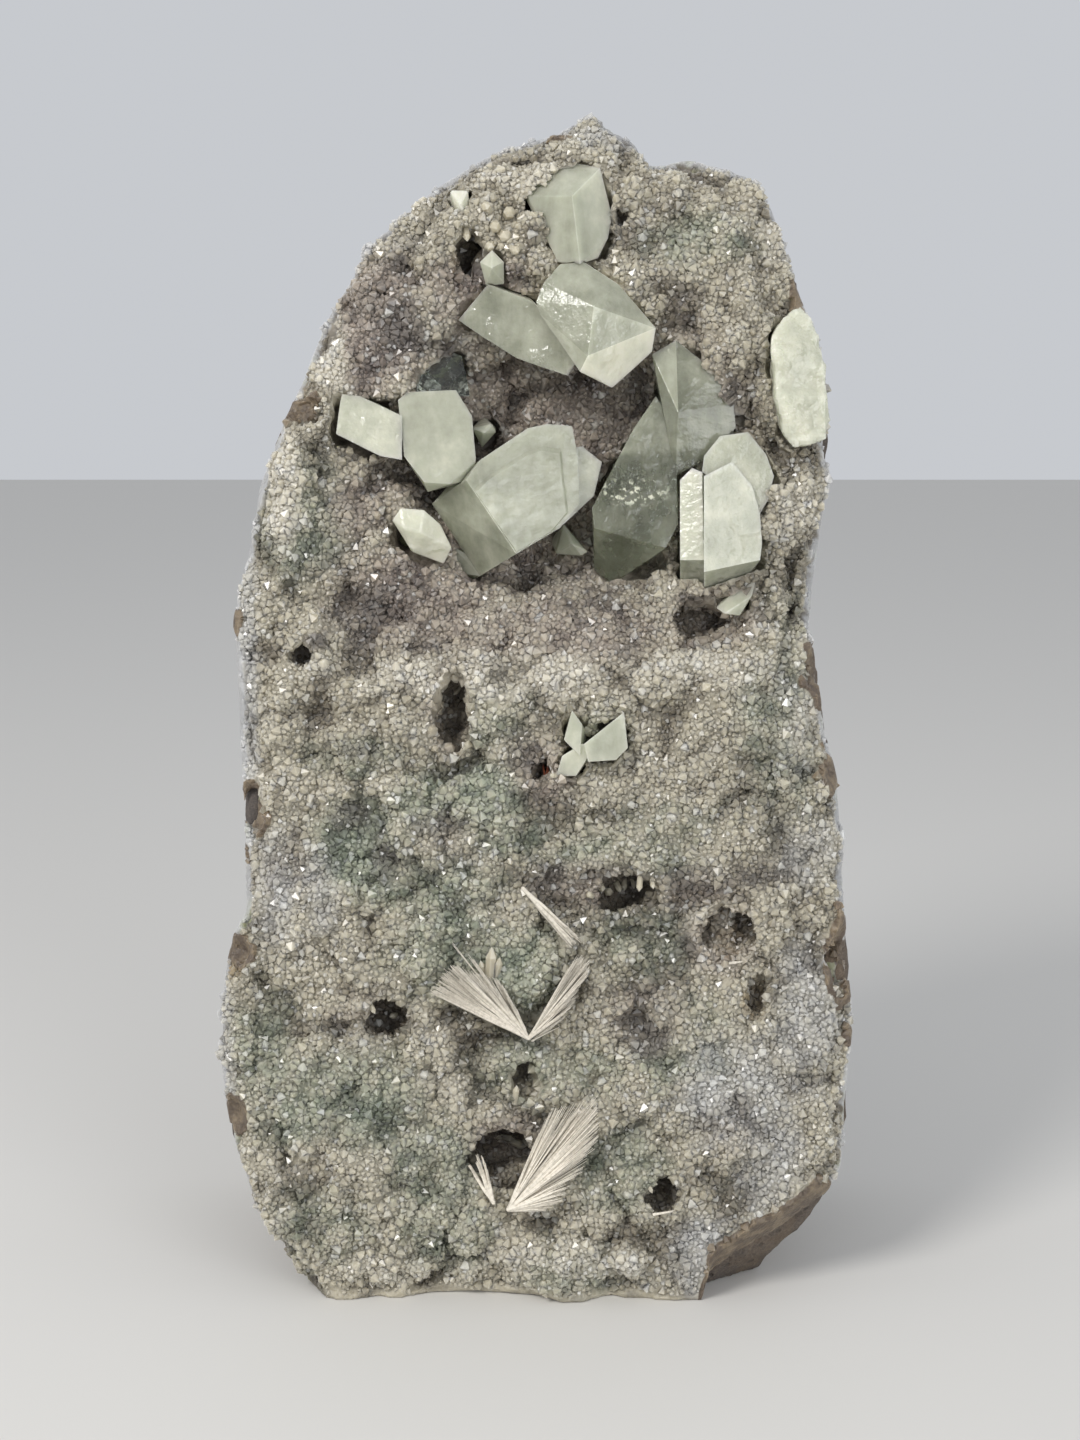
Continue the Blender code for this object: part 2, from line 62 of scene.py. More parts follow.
# The skin's lumps, as a size and a height in millimetres for each kind, and how far its creases
# lie under the solid. Broad patches of it are livelier than others.
CAULIFLOWER = ((13.0, 4.2), (6.2, 2.3), (3.2, 1.5))
SKIN_DEPTH = 1.5
LIVELY_PATCH = 24 * MM
UNEVENNESS = 0.35
UNEVEN_HALF_WIDTH = 84
UNEVEN_TOP = 290
LOWEST_BESIDE_CRYSTALS = 1.2
CRYSTAL_ROOM = 3.5 * MM
CRYSTAL_REACH = 6 * MM
FOOT_CLEARANCE = 2.5 * MM


def rgb(red, green, blue):
    """A colour as it looks on a screen, 0 to 255, as the linear colour that shaders take."""
    shares = [value / 255 for value in (red, green, blue)]
    return (*[s / 12.92 if s < 0.04045 else ((s + 0.055) / 1.055) ** 2.4 for s in shares], 1.0)


def to_face(points):
    """World points as across, up and out on the leaning face, in millimetres."""
    away = (np.asarray(points) - FACE_FOOT) / MM
    cos, sin = math.cos(FACE_LEAN), math.sin(FACE_LEAN)
    up = away[..., 2] * cos + away[..., 1] * sin
    out = away[..., 2] * sin - away[..., 1] * cos
    return np.stack((away[..., 0], up, out), axis=-1)


def from_face(points):
    """Points given as across, up and out on the leaning face, in millimetres, as world points."""
    points = np.asarray(points, float)
    cos, sin = math.cos(FACE_LEAN), math.sin(FACE_LEAN)
    y = points[..., 1] * sin - points[..., 2] * cos
    z = points[..., 1] * cos + points[..., 2] * sin
    return np.stack((points[..., 0], y, z), axis=-1) * MM + FACE_FOOT


def new_object(name, mesh):
    made = bpy.data.objects.new(name, mesh)
    bpy.context.scene.collection.objects.link(made)
    return made


def copy_of(node, name):
    """A frame node's shape as one closed mesh, to be made finer."""
    bm = bmesh.new()
    bm.from_mesh(nodes[node].data)
    bmesh.ops.remove_doubles(bm, verts=bm.verts, dist=1e-6)
    for face in bm.faces:
        face.smooth = False
    mesh = bpy.data.meshes.new(name)
    bm.to_mesh(mesh)
    bm.free()
    return new_object(name, mesh)


def settle(piece):
    """Replaces a piece's mesh by what its modifiers make of it."""
    graph = bpy.context.evaluated_depsgraph_get()
    mesh = bpy.data.meshes.new_from_object(piece.evaluated_get(graph))
    piece.modifiers.clear()
    piece.data = mesh
    return piece


def remeshed(piece, voxel, smoothing):
    """The piece on an even grid, with its hard edges worn off."""
    remesh = piece.modifiers.new("even grid", "REMESH")
    remesh.mode = "VOXEL"
    remesh.voxel_size = voxel
    wear = piece.modifiers.new("worn", "SMOOTH")
    wear.factor = 0.5
    wear.iterations = smoothing
    return settle(piece)


def corners_of(piece):
    found = np.empty(len(piece.data.vertices) * 3, np.float32)
    piece.data.vertices.foreach_get("co", found)
    return found.reshape(-1, 3).astype(float)


def normals_of(piece):
    found = np.empty(len(piece.data.vertices) * 3, np.float32)
    piece.data.vertex_normals.foreach_get("vector", found)
    return found.reshape(-1, 3).astype(float)


def put_corners(piece, places):
    piece.data.vertices.foreach_set("co", places.astype(np.float32).ravel())
    piece.data.update()


def store(piece, name, values):
    """Keeps one number for each corner of a piece, for its material or its grains."""
    kept = piece.data.attributes.get(name) or piece.data.attributes.new(name, "FLOAT", "POINT")
    kept.data.foreach_set("value", np.asarray(values, np.float32))


def noise_at(places, size, seed):
    """Smooth noise from -1 to 1 at each place, for features of the given size in metres."""
    shift = Vector((seed * 7.3, seed * 3.1, seed * 1.7))
    return np.array([noise.noise(Vector(p) / size + shift) for p in places])


def lumps_at(places, size, seed):
    """Rounded lumps packed side by side: 1 on the tops, 0 deep in the creases between them."""
    shift = Vector((seed * 2.3, seed * 5.1, seed * 3.7))
    found = []
    for place in places:
        spot = Vector(place) / size + shift
        spot += 0.22 * noise.noise_vector(spot * 1.7)
        found.append(noise.voronoi(spot)[0][0])
    return np.clip(1 - (np.array(found) / 0.78) ** 2, 0, 1)


def smooth_step(low, high, values):
    share = np.clip((values - low) / (high - low), 0, 1)
    return share * share * (3 - 2 * share)


def oval(face_places, across, up, half_width, half_height):
    """How far each place lies from an oval's middle on the face, its edge being at 1."""
    return np.hypot((face_places[:, 0] - across) / half_width, (face_places[:, 1] - up) / half_height)


def distance_to(names, places, reach):
    """The distance from each place to the nearest of some frame nodes, up to a reach."""
    found = np.full(len(places), reach)
    for name in names:
        mesh = nodes[name].data
        tree = BVHTree.FromPolygons([v.co for v in mesh.vertices], [p.vertices for p in mesh.polygons])
        low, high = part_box(name)
        near = np.all((places > np.array(low) - reach) & (places < np.array(high) + reach), axis=1)
        for index in np.nonzero(near)[0]:
            hit = tree.find_nearest(Vector(places[index]), reach)
            if hit[0] is not None:
                found[index] = min(found[index], hit[3])
    return found


# The noise starts from the clock unless it is given a seed
noise.seed_set(NOISE_SEED)
crust = remeshed(copy_of("druzy_quartz_crust", "druse_skin"), CRUST_VOXEL, CRUST_SMOOTHING)
places = corners_of(crust)
normals = normals_of(crust)
facing = to_face(FACE_FOOT + normals * MM)[:, 2]
face_places = to_face(places)
crystal_nodes = [name for name in nodes if name.startswith(("apophyllite", "scolecite"))]
crystal_distance = distance_to(crystal_nodes, places, CRYSTAL_REACH)

# The crust is gone at the chips along its edge (across, up, half width, half height), and it
# ends flush at the flat break across the lower right corner
CHIPS = [
    (-59.5, 225.5, 6, 3), (-72.5, 125, 4.5, 9), (-75.5, 89, 5.5, 4), (-77.5, 47, 3.5, 7),
    (71, 159.5, 4, 8.5), (75.5, 134.5, 3.5, 7), (78, 86, 4.5, 11), (-75.5, 172, 1.5, 4),
    (5.5, 294.3, 3.5, 1.2), (66.5, 254, 2, 5), (79, 68, 1.5, 3),
]
CHIP_RAGGEDNESS = 0.9
BREAK_POINT = np.array((57.5, 21.0, -2.0))
BREAK_NORMAL = np.array((0.45, -0.68, 0.55)) / math.hypot(0.45, 0.68, 0.55)
BREAK_END = (43.0, 6.0)
BREAK_END_WAY = (0.98, -0.21)
BREAK_RAGGEDNESS = 0.5
ragged = noise_at(places, 5 * MM, 31)
beyond = (face_places - BREAK_POINT) @ BREAK_NORMAL
beside = (face_places[:, :2] - BREAK_END) @ BREAK_END_WAY
bare = smooth_step(-1.3, -0.5, np.minimum(beyond, beside) + ragged * BREAK_RAGGEDNESS)
for chip in CHIPS:
    bare = np.maximum(bare, smooth_step(1.0, 0.75, oval(face_places, *chip) + ragged * CHIP_RAGGEDNESS))

# The open pits of the crust (across, up, width, height), with ragged mouths
PITS = [
    (-17, 264, 8, 13), (21.5, 273.5, 5, 5.5), (-21, 147.5, 8, 21), (2, 134, 5, 8),
    (23.5, 103, 15, 8), (48, 92.5, 15, 14), (55, 78, 7, 11), (-38.5, 72, 8, 10.5),
    (-3, 56, 7, 9.5), (-8, 36.5, 15, 15), (32, 27, 8.5, 9), (42, 171.5, 19, 8),
    (70.5, 126, 4, 4.5), (-59, 163, 6, 6),
]
MOUTH_RAGGEDNESS = 1.7
mouth = np.zeros(len(places))
for pit in PITS:
    mouth = np.maximum(mouth, smooth_step(1.2, 0.6, oval(face_places, *pit)))
aside = [noise_at(places, 3.6 * MM, seed) * MOUTH_RAGGEDNESS * mouth for seed in (41, 42)]
places += from_face(np.stack((*aside, np.zeros(len(places))), axis=-1)) - FACE_FOOT

# The lumps are lower beside the crystals, and there are none where the crust is gone
lively = np.clip(0.8 + 0.9 * noise_at(places, LIVELY_PATCH, 8), 0.25, 1.5)
inside = smooth_step(UNEVEN_HALF_WIDTH, UNEVEN_HALF_WIDTH - 14, np.abs(face_places[:, 0]))
inside *= smooth_step(UNEVEN_TOP, UNEVEN_TOP - 20, face_places[:, 1])
swell = -SKIN_DEPTH * np.ones(len(places))
crease = np.zeros(len(places))
for number, (size, height) in enumerate(CAULIFLOWER):
    lump = lumps_at(places, size * MM, number + 1)
    swell += height * lively * (lump - 0.6)
    swell += UNEVENNESS * height * noise_at(places, size * 0.8 * MM, number + 51) * inside
    crease = np.maximum(crease, (1 - lump) * (1 - 0.2 * number))
room = smooth_step(0, CRYSTAL_ROOM, crystal_distance)
swell = np.where(room < 1, np.minimum(swell, LOWEST_BESIDE_CRYSTALS + 1.5 * room), swell) * (1 - bare)

# Where the crust grew up under the overhanging side of a crystal: across, up, half width, height
GROWN_UNDER = [
    (-0.5, 270, 4, 6), (59, 224, 3, 5), (-7.5, 259, 3, 4), (57.5, 196, 3, 4), (-44, 229, 5, 3),
]
for across, up, half_width, height in GROWN_UNDER:
    swell += height * smooth_step(1.4, 0.3, oval(face_places, across, up, half_width, half_width))
front = smooth_step(-0.1, 0.25, facing)
above_foot = smooth_step(0.2 * MM, FOOT_CLEARANCE, places[:, 2])
places += normals * (swell * front * above_foot * MM)[:, None]
places[:, 2] = np.maximum(places[:, 2], 0)

# The knob at the top leans out to the right, and behind the crystal on the right edge the crust
# stays inside the crystal's own outline
KNOB = (21, 291, 7, 7)
KNOB_LEAN = 3.2 * MM
EDGE_CRYSTAL_FOOT = 213
EDGE_CRYSTAL_TOP = 246
EDGE_CRYSTAL_SIDE = 73 * MM
places[:, 0] += KNOB_LEAN * smooth_step(1.3, 0.3, oval(face_places, *KNOB))
behind_edge = (face_places[:, 1] > EDGE_CRYSTAL_FOOT) & (face_places[:, 1] < EDGE_CRYSTAL_TOP)
places[behind_edge, 0] = np.minimum(places[behind_edge, 0], EDGE_CRYSTAL_SIDE)
put_corners(crust, places)

# The colours of the druse, most of them a lit one for its tops and a darker one of painted shade for its
# creases
CREAM = rgb(176, 169, 151)
SHADED_CREAM = rgb(120, 113, 100)
GREY_GREEN = rgb(150, 155, 137)
SHADED_GREEN_GREY = rgb(104, 111, 97)
# Painted shade: mauve grey where the hollow and the pits lie in shade, deeper in their creases
MAUVE_SHADE = rgb(150, 138, 128)
DEEPER_MAUVE_SHADE = rgb(98, 88, 84)
# Painted light: a paler cream where the ridge and the raised left band catch more light
LIT_CREAM = rgb(206, 199, 182)
ICE = rgb(186, 187, 187)
RIM = rgb(192, 193, 195)
OCHRE = rgb(134, 116, 88)
# Partly painted shade, partly thin druse that shows the dark rock through it
THIN_AND_SHADED_DARK = rgb(92, 87, 82)
# Painted shade for the druse that lies deeper than its surroundings, in the pits and hollows
HOLLOW_SHADE = rgb(84, 77, 68)
BARE_ROCK = rgb(94, 82, 70)
PALE_ROCK = rgb(132, 118, 98)
RIND = rgb(144, 144, 112)
# Where each colour lies: across, up, half width, half height, strength
ZONES = {
    "green": [
        (-47, 138, 20, 8, 0.7), (-43, 115, 18, 18, 0.9), (-13, 127, 15, 12, 0.8), (-30, 106, 30, 12, 0.7),
        (-7, 118, 15, 8, 0.8), (18, 112, 30, 9, 0.6), (16, 146, 9, 9, 0.6), (61, 150, 14, 40, 0.5),
        (-20, 90, 26, 16, 0.8), (-3, 84, 14, 14, 0.9), (-44, 54, 22, 20, 0.8), (-25, 34, 16, 18, 0.8),
        (-22, 18, 17, 14, 0.7), (21, 34, 16, 16, 0.7), (8, 9, 22, 12, 0.5), (5, 60, 26, 14, 0.6),
        (-68, 60, 12, 30, 0.6), (36, 66, 20, 18, 0.6), (-12, 150, 14, 14, 0.5), (28, 90, 20, 14, 0.5),
        (-52, 18, 18, 18, 0.5), (30, 120, 24, 12, 0.4), (-58, 196, 16, 22, 0.6),
        (-29, 127, 12, 12, 0.8), (-59, 52, 12, 16, 0.9), (41, 268, 18, 10, 0.7),
    ],
    # Painted shade: where the mauve shade lies, in the upper hollow and in the pits
    "mauve_shade": [
        (0, 212, 56, 48, 1.0), (-30, 178, 32, 20, 0.9), (5, 170, 44, 14, 0.8), (44, 172, 20, 12, 0.8),
        (-40, 246, 16, 26, 1.0), (-14, 254, 20, 14, 0.9), (36, 232, 22, 26, 0.6), (-44, 200, 12, 12, 0.8),
        (14, 106, 22, 8, 0.8), (-61, 110, 14, 14, 0.5), (-44, 70, 14, 12, 0.6), (-26, 116, 22, 12, 0.5),
        (28, 72, 16, 13, 0.7), (46, 92, 13, 13, 0.8), (2, 134, 10, 12, 0.8), (-22, 150, 9, 16, 0.7),
        (-8, 40, 13, 13, 0.8), (40, 104, 16, 9, 0.6), (48, 46, 12, 12, 0.5), (-50, 40, 14, 8, 0.4),
    ],
    "ice": [
        (-73, 150, 5, 60, 0.9), (-78, 60, 4, 30, 0.8), (-66, 104, 9, 22, 0.8), (-54, 104, 8, 16, 0.7),
        (10, 294, 44, 6, 0.6), (-44, 268, 26, 8, 0.5), (50, 52, 20, 22, 0.8), (58, 38, 14, 20, 0.8),
        (68, 72, 12, 30, 0.8), (42, 12, 12, 16, 0.9), (68, 114, 12, 16, 0.7), (66, 150, 10, 34, 0.5),
        (-66, 18, 8, 24, 0.5), (20, 6, 22, 10, 0.4),
    ],
    # Painted light: the patches painted paler where more light falls
    "lit_patch": [
        (-64, 205, 7, 24, 0.75), (-52, 240, 6, 16, 0.8), (-10, 158, 50, 8, 0.75), (45, 160, 24, 7, 0.6),
        (-62, 92, 8, 5, 0.7), (-30, 10, 26, 8, 0.5), (10, 12, 26, 8, 0.6), (-24, 70, 7, 6, 0.6),
        (38, 100, 10, 6, 0.5), (58, 268, 10, 10, 0.4), (-5, 284, 30, 7, 0.5), (66, 200, 8, 16, 0.5),
        (-54, 160, 12, 6, 0.5), (-66, 132, 8, 10, 0.4), (-21.5, 57, 9, 6, 0.5),
    ],
    # Patches of painted shade by the crystals, in the bowl and in the pits, partly thin see-through druse
    "thin_and_shaded": [
        (-45, 174, 9, 12, 0.9), (-55, 166, 6, 4, 0.9), (-38, 168, 6, 8, 0.5), (-47, 123, 8, 5, 0.8),
        (-63, 113, 8, 9, 0.8), (-24, 121, 12, 5, 0.7), (-37, 112, 6, 9, 0.7), (-10, 158, 6, 4, 0.6),
        (3, 107, 8, 7, 0.9), (-3, 138, 8, 8, 0.7), (-29, 165, 10, 5, 0.6), (-46, 139, 10, 3, 0.8),
        (13, 177, 14, 6, 0.6), (23, 167, 5, 6, 0.6), (39, 176, 8, 4, 0.8), (28, 67, 8, 6, 0.9),
        (50, 50, 7, 6, 0.7), (-33, 246, 9, 10, 1.0), (-22, 241, 7, 6, 0.8), (-35, 262, 7, 5, 0.6),
        (-4, 230, 6, 5, 0.7), (1.5, 233, 7, 4, 0.8), (26, 233, 7, 6, 0.9), (20, 218, 8, 8, 0.7),
        (49, 227, 5, 6, 0.8), (35, 250, 7, 6, 0.5), (-35, 210, 8, 5, 0.6), (-28, 204, 5, 4, 0.8),
        (-3, 182, 10, 5, 0.7), (-58, 252, 4, 8, 0.4), (57, 108, 8, 6, 0.6), (-20, 30, 6, 8, 0.5),
        (60, 120, 6, 8, 0.4), (-45, 90, 8, 5, 0.6), (44, 108, 9, 4, 0.6), (-12, 100, 8, 5, 0.4),
        (-41, 252, 8, 8, 0.7), (8, 176, 12, 6, 0.4),
    ],
    "ochre": [
        (-77, 88, 6, 9, 0.9), (-60, 228, 6, 6, 0.8), (78, 88, 4, 12, 0.8), (72, 160, 4, 10, 0.7),
        (48, 91, 7, 7, 0.7), (55, 77, 5, 8, 0.8), (66, 19, 12, 5, 0.6), (31, 27, 6, 6, 0.6),
        (66, 254, 7, 12, 0.4), (-20, 262, 5, 7, 0.5),
    ],
}
# Painted shade: the druse is painted darker where it lies deeper than what is around it, which is found on
# a grid of cells
HOLLOW_REACH = 5.0
HOLLOW_DEPTH = 6.0
HOLLOW_CELL = 2.0
CELLS_START = (-90, -10)
UNSEEN = -99.0
# Its outline has a pale rim, but not near the foot, and it ends in a thin rind against the rock
RIM_WIDTH = 4.0
RIM_HEIGHT = 30
RIND_WIDTH = 2.6 * MM


def zone(face_places, patches):
    """How strongly a colour lies at each place, 0 to 1, from its list of soft ovals."""
    found = np.zeros(len(face_places))
    for *patch, strength in patches:
        found = np.maximum(found, strength * smooth_step(1.25, 0.35, oval(face_places, *patch)))
    return found


def sunkenness(face_places, seen):
    """How far each place lies below the druse around it, in millimetres."""
    columns = ((face_places[:, 0] - CELLS_START[0]) / HOLLOW_CELL).astype(int)
    rows = ((face_places[:, 1] - CELLS_START[1]) / HOLLOW_CELL).astype(int)
    height = np.full((columns.max() + 1, rows.max() + 1), UNSEEN)
    np.maximum.at(height, (columns[seen], rows[seen]), face_places[seen, 2])
    known = height > UNSEEN
    total = np.where(known, height, 0.0)
    count = known.astype(float)
    reach = round(HOLLOW_REACH / HOLLOW_CELL)
    for axis in (0, 1):
        total = sum(np.roll(total, shift, axis) for shift in range(-reach, reach + 1))
        count = sum(np.roll(count, shift, axis) for shift in range(-reach, reach + 1))
    level = total / np.maximum(count, 1)
    return level[columns, rows] - face_places[:, 2]


def rim_distance(face_places):
    """How far each place lies inside the specimen's outline, in millimetres."""
    away = face_places[:, :2] - FACE_MIDDLE
    radius = np.hypot(away[:, 0], away[:, 1])
    turn = np.degrees(np.arctan2(away[:, 1], away[:, 0])).astype(int) % 360
    outline = np.zeros(360)
    np.maximum.at(outline, turn, radius)
    return outline[turn] - radius


face_places = to_face(places)
for colour, patches in ZONES.items():
    store(crust, colour, zone(face_places, patches))
store(crust, "crease", crease)
store(crust, "bare", bare)
edge = smooth_step(RIM_WIDTH, RIM_WIDTH / 3, rim_distance(face_places)) * smooth_step(0.75, 0.3, facing)
edge *= smooth_step(5, RIM_HEIGHT, face_places[:, 1])
store(crust, "edge", edge)
rind = smooth_step(RIND_WIDTH, 0.6 * MM, distance_to(["basalt_matrix"], places, 4 * MM))
store(crust, "rind", rind * smooth_step(0.5, 0.1, facing))
store(crust, "hollow_shade", smooth_step(0.5, HOLLOW_DEPTH, sunkenness(face_places, facing > 0.2)))


class Wire:
    """The output of a material's node. Sums of wires add the Math nodes that work them out."""

    def __init__(self, socket):
        self.socket = socket

    def node(self, kind, settings=None, values=None, output=0):
        """Adds a node: first its settings, then the value or the wire of each input."""
        made = self.socket.id_data.nodes.new(kind)
        for name, value in (settings or {}).items():
            setattr(made, name, value)
        for key, value in (values or {}).items():
            if isinstance(value, Wire):
                self.socket.id_data.links.new(value.socket, made.inputs[key])
            else:
                made.inputs[key].default_value = value
        return Wire(made.outputs[output])

    def calculate(self, operation, other):
        return self.node("ShaderNodeMath", {"operation": operation}, {0: self, 1: other})

    def __add__(self, other):
        return self.calculate("ADD", other)

    def __sub__(self, other):
        return self.calculate("SUBTRACT", other)

    def __rsub__(self, other):
        return self * -1 + other

    def __mul__(self, other):
        return self.calculate("MULTIPLY", other)

    __radd__ = __add__
    __rmul__ = __mul__

    def step(self, low, high):
        """0 below low, 1 above high, and smooth between."""
        return self.node(
            "ShaderNodeMapRange", {"interpolation_type": "SMOOTHSTEP"},
            {"Value": self, "From Min": low, "From Max": high},
        )

    def mix(self, without, with_it):
        """One colour where this wire is 0, the other where it is 1."""
        values = {0: self, 6: without, 7: with_it}
        return self.node("ShaderNodeMix", {"data_type": "RGBA"}, values, output=2)

    def scaled(self, amount):
        """A colour made darker or lighter."""
        return self.node(
            "ShaderNodeVectorMath", {"operation": "SCALE"}, {0: self, "Scale": amount},
        )

    def read(self, attribute):
        """A number stored on the piece."""
        return self.node("ShaderNodeAttribute", {"attribute_name": attribute}, output=2)

    def cloud(self, size, detail, roughness):
        """Soft noise, 0 to 1, at these coordinates, for features of the given size in metres."""
        values = {"Vector": self, "Scale": 1 / size, "Detail": detail, "Roughness": roughness}
        return self.node("ShaderNodeTexNoise", None, values)

    def bump(self, height):
        """The surface's normal where this wire is its height, 1 standing for the given metres."""
        return self.node("ShaderNodeBump", None, {"Height": self, "Distance": height, "Strength": 1.0})


def new_finish(name):
    """A new material, and the wire of its object coordinates."""
    made = bpy.data.materials.new(name)
    made.use_nodes = True
    made.node_tree.nodes.clear()
    start = Wire(made.node_tree.nodes.new("ShaderNodeTexCoord").outputs["Object"])
    return made, start


def finished(surface, volume=None):
    """Ends a material in its surface shader, and in what fills it if it is clear."""
    values = {"Surface": surface}
    if volume:
        values["Volume"] = volume
    tree = surface.socket.id_data
    made = tree.nodes.new("ShaderNodeOutputMaterial")
    for key, wire in values.items():
        tree.links.new(wire.socket, made.inputs[key])


def druse_colour(place):
    """Cream on the lumps with painted shade in the creases and hollows, grey-green where it thins, mauve
    painted shade in the bowl and pits, painted light on the brighter patches, icy along the edge.
    """
    mottle = place.cloud(14 * MM, 5, 0.62) - 0.5
    fine = place.cloud(4 * MM, 4, 0.65) - 0.5
    crease = place.read("crease")
    # Painted shade: darker in the creases between the lumps, mixed with random tone from the noise
    crease_shade_and_tone = (crease + fine * 1.1 + mottle * 0.3).step(0.35, 1.05)
    green = (place.read("green") + mottle * 1.3 + fine * 1.1 + crease * 0.4 - 0.25).step(0.1, 1.15)
    # Painted shade in mauve grey over the shaded hollow and pits
    mauve_shade = (place.read("mauve_shade") + mottle * 0.6 + fine * 0.5 + crease * 0.2 - 0.1).step(0.2, 1.15)
    ice = (place.read("ice") - mottle * 1.2 + fine * 0.5).step(0.25, 1.3)
    ochre = (place.read("ochre") + fine * 1.2 + mottle * 0.6).step(0.45, 0.95)
    # Painted shade in the sunken druse and the creases
    hollow_shade = (place.read("hollow_shade") * 0.9 + crease * 0.35 + mottle * 0.2).step(0.2, 1.15)
    colour = green.mix(crease_shade_and_tone.mix(CREAM, SHADED_CREAM), crease_shade_and_tone.mix(GREY_GREEN, SHADED_GREEN_GREY))
    colour = (mauve_shade * 0.9).mix(colour, crease_shade_and_tone.mix(MAUVE_SHADE, DEEPER_MAUVE_SHADE))
    # Painted light: paler cream on the patches that catch more light
    colour = (place.read("lit_patch") - crease_shade_and_tone * 0.4 + fine * 0.8).step(0.05, 0.9).mix(colour, LIT_CREAM)
    colour = (ice * 0.75).mix(colour, ICE)
    # Painted shade, partly thin see-through druse, over the listed dark patches
    thin_and_shaded = (place.read("thin_and_shaded") + mottle * 1.2 + fine * 1.3 + crease * 0.4 - 0.25).step(0.15, 1.0)
    colour = (thin_and_shaded * 0.75).mix(colour, THIN_AND_SHADED_DARK)
    colour = (ochre * 0.8).mix(colour, OCHRE)
    colour = (hollow_shade * 0.75).mix(colour, HOLLOW_SHADE)
    colour = (place.read("rind") + fine).step(0.3, 0.8).mix(colour, RIND)
    colour = ((place.read("edge") * 1.3 + mottle * 2 + fine - 0.35).step(0, 1) * 0.7).mix(colour, RIM)
    rock = fine.step(-0.12, 0.16).mix(BARE_ROCK, PALE_ROCK)
    return (place.read("bare") + fine * 0.6).step(0.4, 0.6).mix(colour, rock)


skin_finish, place = new_finish("druse between its grains")
skin_colour = druse_colour(place)
grain_cells = place.node("ShaderNodeTexVoronoi", None, {"Vector": place, "Scale": 1 / (1.1 * MM)})
finished(skin_colour.node("ShaderNodeBsdfPrincipled", None, {
    "Base Color": skin_colour, "Roughness": 0.5, "Normal": grain_cells.bump(-0.25 * MM),
    "Subsurface Weight": 0.9, "Subsurface Radius": (1.0, 1.0, 0.95), "Subsurface Scale": 2.5 * MM,
}))
crust.data.materials.clear()
crust.data.materials.append(skin_finish)
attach(crust, "root")
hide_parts("druzy_quartz_crust")

# The quartz points on the crust: short six-sided crystals, sunk to their middles in the skin,
# leaning every way, so that the crust glitters like coarse sugar. Each is a clear to milky point.
# The smallest and largest sizes are half widths, and the ends are a share of them.
GRAIN_SPACING = 1.1 * MM
GRAIN_SMALLEST = 0.68 * MM
GRAIN_LARGEST = 1.65 * MM
GRAIN_LEAN = math.radians(62)
GRAIN_ENDS = (-0.9, 1.15)
FEW_LARGE = 2.2
MOST_GRAINS = 3.0e6
LOWEST_GRAINS = (1.6 * MM, 3.2 * MM)
GRAIN_BANDS = ((-10, 82), (82, 150), (150, 215), (215, 310))
CRYSTAL_CLEARANCE = 0.35 * MM
# Painted highlight: the near white that a few grains are painted as glints
PAINTED_GLINT = rgb(226, 226, 220)
covered = smooth_step(0.02, 0.3, facing) * smooth_step(*LOWEST_GRAINS, places[:, 2])
covered *= smooth_step(0.5, 0.3, bare) * (crystal_distance > CRYSTAL_CLEARANCE)
store(crust, "grain_here", covered)


class Tree:
    """A Geometry Nodes tree being built, with its group inputs and outputs."""

    def __init__(self, name, sizes):
        self.group = bpy.data.node_groups.new(name, "GeometryNodeTree")
        self.group.interface.new_socket("Geometry", in_out="INPUT", socket_type="NodeSocketGeometry")
        self.group.interface.new_socket("Geometry", in_out="OUTPUT", socket_type="NodeSocketGeometry")
        for size, kind in sizes.items():
            self.group.interface.new_socket(size, in_out="INPUT", socket_type=f"NodeSocket{kind}")
        self.start = self.group.nodes.new("NodeGroupInput")
        self.end = self.group.nodes.new("NodeGroupOutput")

    def size(self, name):
        return self.start.outputs[name]

    def node(self, kind, settings=None, values=None, output=0):
        """Adds a node: first its settings, then the value or the socket of each input."""
        made = self.group.nodes.new(kind)
        for name, value in (settings or {}).items():
            setattr(made, name, value)
        for key, value in (values or {}).items():
            if isinstance(value, bpy.types.NodeSocket):
                self.group.links.new(value, made.inputs[key])
            else:
                made.inputs[key].default_value = value
        return made.outputs[output]

    def finish(self, geometry, material):
        real = self.node("GeometryNodeRealizeInstances", None, {"Geometry": geometry})
        dressed = self.node("GeometryNodeSetMaterial", None, {"Geometry": real, "Material": material})
        self.group.links.new(dressed, self.end.inputs["Geometry"])

    def run(self, piece, sizes):
        """The plain mesh that the tree makes of a piece, at the given sizes."""
        modifier = piece.modifiers.new("tree", "NODES")
        modifier.node_group = self.group
        for item in self.group.interface.items_tree:
            if item.item_type == "SOCKET" and item.in_out == "INPUT" and item.name in sizes:
                modifier[item.identifier] = sizes[item.name]
        return settle(piece)


def quartz_point():
    """A six-sided point with two ends, of radius 1 at its middle, as a tree's instance."""
    bm = bmesh.new()
    middle = [
        bm.verts.new((math.cos(math.tau * i / 6), math.sin(math.tau * i / 6), 0)) for i in range(6)
    ]
    for end in GRAIN_ENDS:
        tip = bm.verts.new((0, 0, end))
        for i in range(6):
            bm.faces.new((middle[i - 1], middle[i], tip))
    bmesh.ops.recalc_face_normals(bm, faces=bm.faces)
    mesh = bpy.data.meshes.new("quartz point")
    bm.to_mesh(mesh)
    bm.free()
    mesh.materials.append(grain_finish)
    return bpy.data.objects.new("quartz point", mesh)


grain_finish, place = new_finish("quartz points")
tint = place.read("grain_tint")
colour = druse_colour(place).scaled(tint * 0.2 + 0.92)
